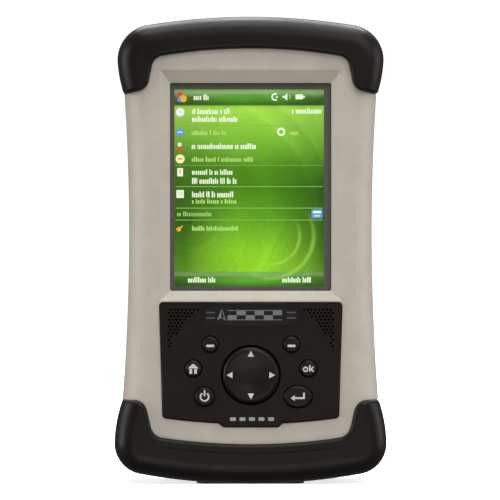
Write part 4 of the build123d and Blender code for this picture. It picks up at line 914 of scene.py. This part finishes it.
PIN_RISE = (PIN_HIGH[2] - PIN_LOW[2]) / 2 - (PIN_HIGH[1] - PIN_LOW[1]) / 2
PIN_ANGLE = math.degrees(math.asin(PIN_RISE / STRAP_RADIUS))
WRAP_RADIUS = (PIN_HIGH[1] - PIN_LOW[1]) / 2 + 0.1 + WEBBING_THICKNESS / 2
TAIL_RADIUS = STRAP_RADIUS - WEBBING_THICKNESS - 0.02  # the tail lies on the inside of the webbing
TAIL_START, TAIL_END = 15.8, 18.4  # degrees
TAIL_DROP, TAIL_LEAD = 3.11, 3.1  # on the way to the pin it drops by so much, over so many degrees


def on_arc(radius, angle):
    """(y, z) on a circle about the strap's centre."""
    turn = math.radians(angle)
    return STRAP_Y + radius * math.cos(turn), STRAP_Z + radius * math.sin(turn)


def eased(t):
    """0 to 1 with a soft start and end."""
    return t * t * (3 - 2 * t)


def webbing_path():
    """(y, z) along the webbing: doubled back inside, round one pin, over the hand, round the other."""
    half = [on_arc(TAIL_RADIUS, TAIL_START + (TAIL_END - TAIL_START) * i / 4) for i in range(5)]
    for i in range(1, 8):
        half.append(on_arc(TAIL_RADIUS - TAIL_DROP * eased(i / 8), TAIL_END + TAIL_LEAD * i / 8))
    for i in range(17):
        turn = math.radians(PIN_ANGLE + 180 * (1 - i / 16))
        rise = WRAP_RADIUS * math.sin(turn)
        half.append((PIN_Y + WRAP_RADIUS * math.cos(turn), STRAP_Z + PIN_RISE + rise))
    middle = [on_arc(STRAP_RADIUS, PIN_ANGLE - 2 * PIN_ANGLE * i / 60) for i in range(1, 60)]
    other = [(y, 2 * STRAP_Z - z) for y, z in reversed(half)]
    return half + middle + other


def sweep(bm, frames, section, closed=False):
    """Carries a closed section along frames of (point, side, up), with UVs in millimetres."""
    uv = bm.loops.layers.uv.get("weave") or bm.loops.layers.uv.new("weave")
    rings = [[bm.verts.new(p + side * a + up * b) for a, b in section] for p, side, up in frames]
    around = [0.0]
    for i in range(len(section)):
        around.append(around[-1] + math.dist(section[i], section[(i + 1) % len(section)]))
    along = [0.0]
    for before, after in zip(frames, frames[1:] + frames[:1]):
        along.append(along[-1] + (after[0] - before[0]).length)
    count = len(rings) if closed else len(rings) - 1
    for r in range(count):
        near, far = rings[r], rings[(r + 1) % len(rings)]
        for i in range(len(section)):
            j = (i + 1) % len(section)
            face = bm.faces.new((near[i], near[j], far[j], far[i]))
            spots = ((r, i), (r, i + 1), (r + 1, i + 1), (r + 1, i))
            for loop, (a, b) in zip(face.loops, spots):
                loop[uv].uv = (along[a], around[b])
    if not closed:
        for ring in (rings[0][::-1], rings[-1]):
            bm.faces.new(ring)


def strip_section(width, thickness):
    """A flat strip's section with rounded edges."""
    a, b = width / 2, thickness / 2
    rounding, steps = 0.35, 10
    top = [(-a + rounding + (width - 2 * rounding) * i / steps, b) for i in range(steps + 1)]
    edge = [(a - rounding * 0.3, b * 0.65), (a, 0.0), (a - rounding * 0.3, -b * 0.65)]
    foot = [(x, -b) for x, _ in reversed(top)]
    return top + edge + foot + [(-x, -z) for x, z in edge]


def path_frames(points, side):
    """Frames along points in a plane, side being the direction across the strip."""
    frames = []
    for i, point in enumerate(points):
        along = (points[min(i + 1, len(points) - 1)] - points[max(i - 1, 0)]).normalized()
        frames.append((point, side, along.cross(side).normalized()))
    return frames


def stitch(bm, start, end, up, thread=0.24):
    """One raised thread between two needle holes."""
    along = (end - start).normalized()
    across = along.cross(up).normalized()
    frames = []
    for share, size in ((0.0, 0.25), (0.18, 0.8), (0.5, 1.0), (0.82, 0.8), (1.0, 0.25)):
        rise = up * (thread * 0.9 * (size - 0.55))
        frames.append((start.lerp(end, share) + rise, across * size, up * size))
    sweep(bm, frames, arc_points(0, 0, thread, 0, 300, 5))


def over_hand(x, run, radius):
    """A point on the strap: x across, run along the middle of the pad, radius from the strap's centre."""
    turn = run / PAD_MIDDLE
    return Vector((x, STRAP_Y + radius * math.cos(turn), STRAP_Z + radius * math.sin(turn)))


def outward(run):
    """The direction away from the hand at this run."""
    turn = run / PAD_MIDDLE
    return Vector((0, math.cos(turn), math.sin(turn)))


def make_webbing():
    """The webbing from pin to pin, and a sewn box with a cross near each end."""
    points = [Vector((0, y, z)) for y, z in webbing_path()]
    bm = bmesh.new()
    sweep(bm, path_frames(points, Vector((1, 0, 0))), strip_section(WEBBING_WIDTH, WEBBING_THICKNESS))
    webbing = finish_piece("webbing", bm, [MATERIALS["webbing"]], "main_unit", True)
    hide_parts("strap_webbing")
    bm = bmesh.new()
    top = STRAP_RADIUS + WEBBING_THICKNESS / 2
    near, far, side, pitch = 26.4, 29.6, 10.5, 1.9
    for end in (-1, 1):
        low, high = end * near, end * far
        corners = [(-side, low), (side, low), (side, high), (-side, high), (-side, low)]
        lines = list(zip(corners, corners[1:]))
        lines += [((-side, low), (side, high)), ((-side, high), (side, low))]
        for (xa, ra), (xb, rb) in lines:
            count = max(2, round(math.dist((xa, ra), (xb, rb)) / pitch))
            for i in range(count):
                a, b = (i + 0.12) / count, (i + 0.82) / count
                start = over_hand(xa + (xb - xa) * a, ra + (rb - ra) * a, top)
                finish = over_hand(xa + (xb - xa) * b, ra + (rb - ra) * b, top)
                stitch(bm, start, finish, outward(ra))
    finish_piece("webbing_stitches", bm, [MATERIALS["thread"]], "main_unit", True)


def pad_rim():
    """The pad's outline laid flat: (x, run)."""
    return rounded_outline(0, 0, 2 * PAD_HALF_WIDTH, 2 * PAD_HALF_RUN, PAD_CORNER, 14)


def dense(outline, gap=1.2):
    """The outline with extra points, so that no side is longer than the gap."""
    points = []
    for a, b in zip(outline, outline[1:] + outline[:1]):
        count = max(1, math.ceil(math.dist(a, b) / gap))
        for i in range(count):
            points.append((a[0] + (b[0] - a[0]) * i / count, a[1] + (b[1] - a[1]) * i / count))
    return points


def pad_height(share):
    """Half the pad's thickness at a share of the way out to its rim: crowned, but drawn in at the seam."""
    crown = PAD_HALF_THICKNESS * (1 - share**5) ** 0.5
    return max(0.45, crown) - SEAM_DEPTH * math.exp(-(((share - SEAM) / SEAM_WIDTH) ** 2))


def make_pad_shell():
    """Crowned faces on both sides, joined along the rim, with more rings where the seam is."""
    rim = dense(pad_rim())
    shares = [0.12, 0.3, 0.45, 0.58, 0.68, 0.76, 0.81, 0.84, 0.86, 0.873, SEAM, 0.897, 0.91, 0.93]
    shares += [0.96, 0.985, 1.0]
    bm = bmesh.new()
    edges = []
    for side in (1, -1):
        rings = []
        for share in shares:
            radius = PAD_MIDDLE + side * pad_height(share)
            rings.append([bm.verts.new(over_hand(x * share, run * share, radius)) for x, run in rim])
        bm.faces.new(rings[0])
        for near, far in zip(rings, rings[1:]):
            bridge(bm, near, far)
        edges.append(rings[-1])
    bridge(bm, *edges)
    pad = finish_piece("hand_pad", bm, [MATERIALS["pad"]], "main_unit", True)
    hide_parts("strap_pad")


def make_pad_binding():
    """The tape that binds the pad's edge."""
    rim = dense(pad_rim())
    frames = []
    for i, (x, run) in enumerate(rim):
        here = over_hand(x, run, PAD_MIDDLE)
        ahead = over_hand(*rim[(i + 1) % len(rim)], PAD_MIDDLE) - over_hand(*rim[i - 1], PAD_MIDDLE)
        up = outward(run)
        frames.append((here, ahead.normalized().cross(up).normalized(), up))
    half_wide, half_high = 1.0, 1.15
    turns = [math.radians(t) for t in range(0, 360, 24)]
    section = [(half_wide * math.cos(t), half_high * math.sin(t)) for t in turns]
    bm = bmesh.new()
    sweep(bm, frames, section, closed=True)
    finish_piece("pad_binding", bm, [MATERIALS["binding"]], "main_unit", True)


def make_pad_stitches():
    """Threads along the seam, on both faces of the pad."""
    pitch = 2.7
    bm = bmesh.new()
    seam = dense([(x * SEAM, run * SEAM) for x, run in pad_rim()], 0.6)
    lengths = [math.dist(seam[i - 1], seam[i]) for i in range(len(seam))]
    since = 0.0
    start = seam[0]
    for i, point in enumerate(seam):
        since += lengths[i]
        if since > pitch:
            for side in (1, -1):
                radius = PAD_MIDDLE + side * (pad_height(SEAM) + 0.03)
                a, b = over_hand(*start, radius), over_hand(*point, radius)
                stitch(bm, a.lerp(b, 0.12), a.lerp(b, 0.84), outward(point[1]) * side, 0.22)
            start, since = point, 0.0
    finish_piece("pad_stitches", bm, [MATERIALS["thread"]], "main_unit", True)


def make_keepers():
    """Two elastic bands, sewn to the pad, that hold the webbing on it."""
    bm = bmesh.new()
    for run in (-17.5, 17.5):
        up = outward(run)
        side = Vector((0, -up.z, up.y))
        # (x, radius) from the pad, up over the webbing's edge, to the middle
        profile = [(-15.2, 95.9), (-14.5, 96.35), (-13.9, 97.4), (-13.2, 98.3), (-12.2, 98.8)]
        profile += [(-6.0, 98.95), (0.0, 99.0)]
        profile += [(-x, radius) for x, radius in reversed(profile[:-1])]
        points = [over_hand(x, run, radius) for x, radius in profile]
        sweep(bm, path_frames(points, side), strip_section(KEEPER_WIDTH, KEEPER_THICKNESS))
    finish_piece("pad_keepers", bm, [MATERIALS["elastic"]], "main_unit", True)


def make_stylus_loops():
    """Folded elastic bands sewn into the pad's edge, each holding the stylus."""
    low, high = box_mm("stylus_barrel")
    x, y = (low[0] + high[0]) / 2, (low[1] + high[1]) / 2
    low, high = box_mm("stylus_loops")
    bm = bmesh.new()
    for z in (low[2] + LOOP_WIDTH / 2, high[2] - LOOP_WIDTH / 2):
        loop = arc_points(x, y, LOOP_RADIUS, 172, -172, 40)
        flat = [(16.3, y + 0.47), (17.4, y + 0.47), (18.3, y + 0.5)]
        line = flat + loop + [(a, 2 * y - b) for a, b in reversed(flat)]
        points = [Vector((a, b, z)) for a, b in line]
        sweep(bm, path_frames(points, Vector((0, 0, 1))), strip_section(LOOP_WIDTH, LOOP_THICKNESS))
    loops = finish_piece("stylus_bands", bm, [MATERIALS["elastic"]], "main_unit", True)
    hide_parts("stylus_loops")


make_camera()
make_materials()
make_world()
make_stage()
area_light("key_light", 26, 36, 1.3, (1.0, 0.8), 9.0)
area_light("low_fill", 4, -24, 1.4, (1.0, 0.7), 5.8)
area_light("top_light", 6, 80, 1.2, (1.0, 0.7), 13.5)
area_light("fill_left", -78, 8, 1.4, (0.9, 0.9), 13.5)
area_light("fill_right", 84, 8, 1.4, (0.9, 0.9), 9.4)
area_light("back_light", 176, 58, 1.4, (1.2, 0.7), 30.0)
bpy.context.scene.view_settings.view_transform = "Standard"
paint_nodes()
make_screen()
make_legends()
make_badge()
make_label()
make_webbing()
make_pad_shell()
make_pad_binding()
make_pad_stitches()
make_keepers()
make_stylus_loops()
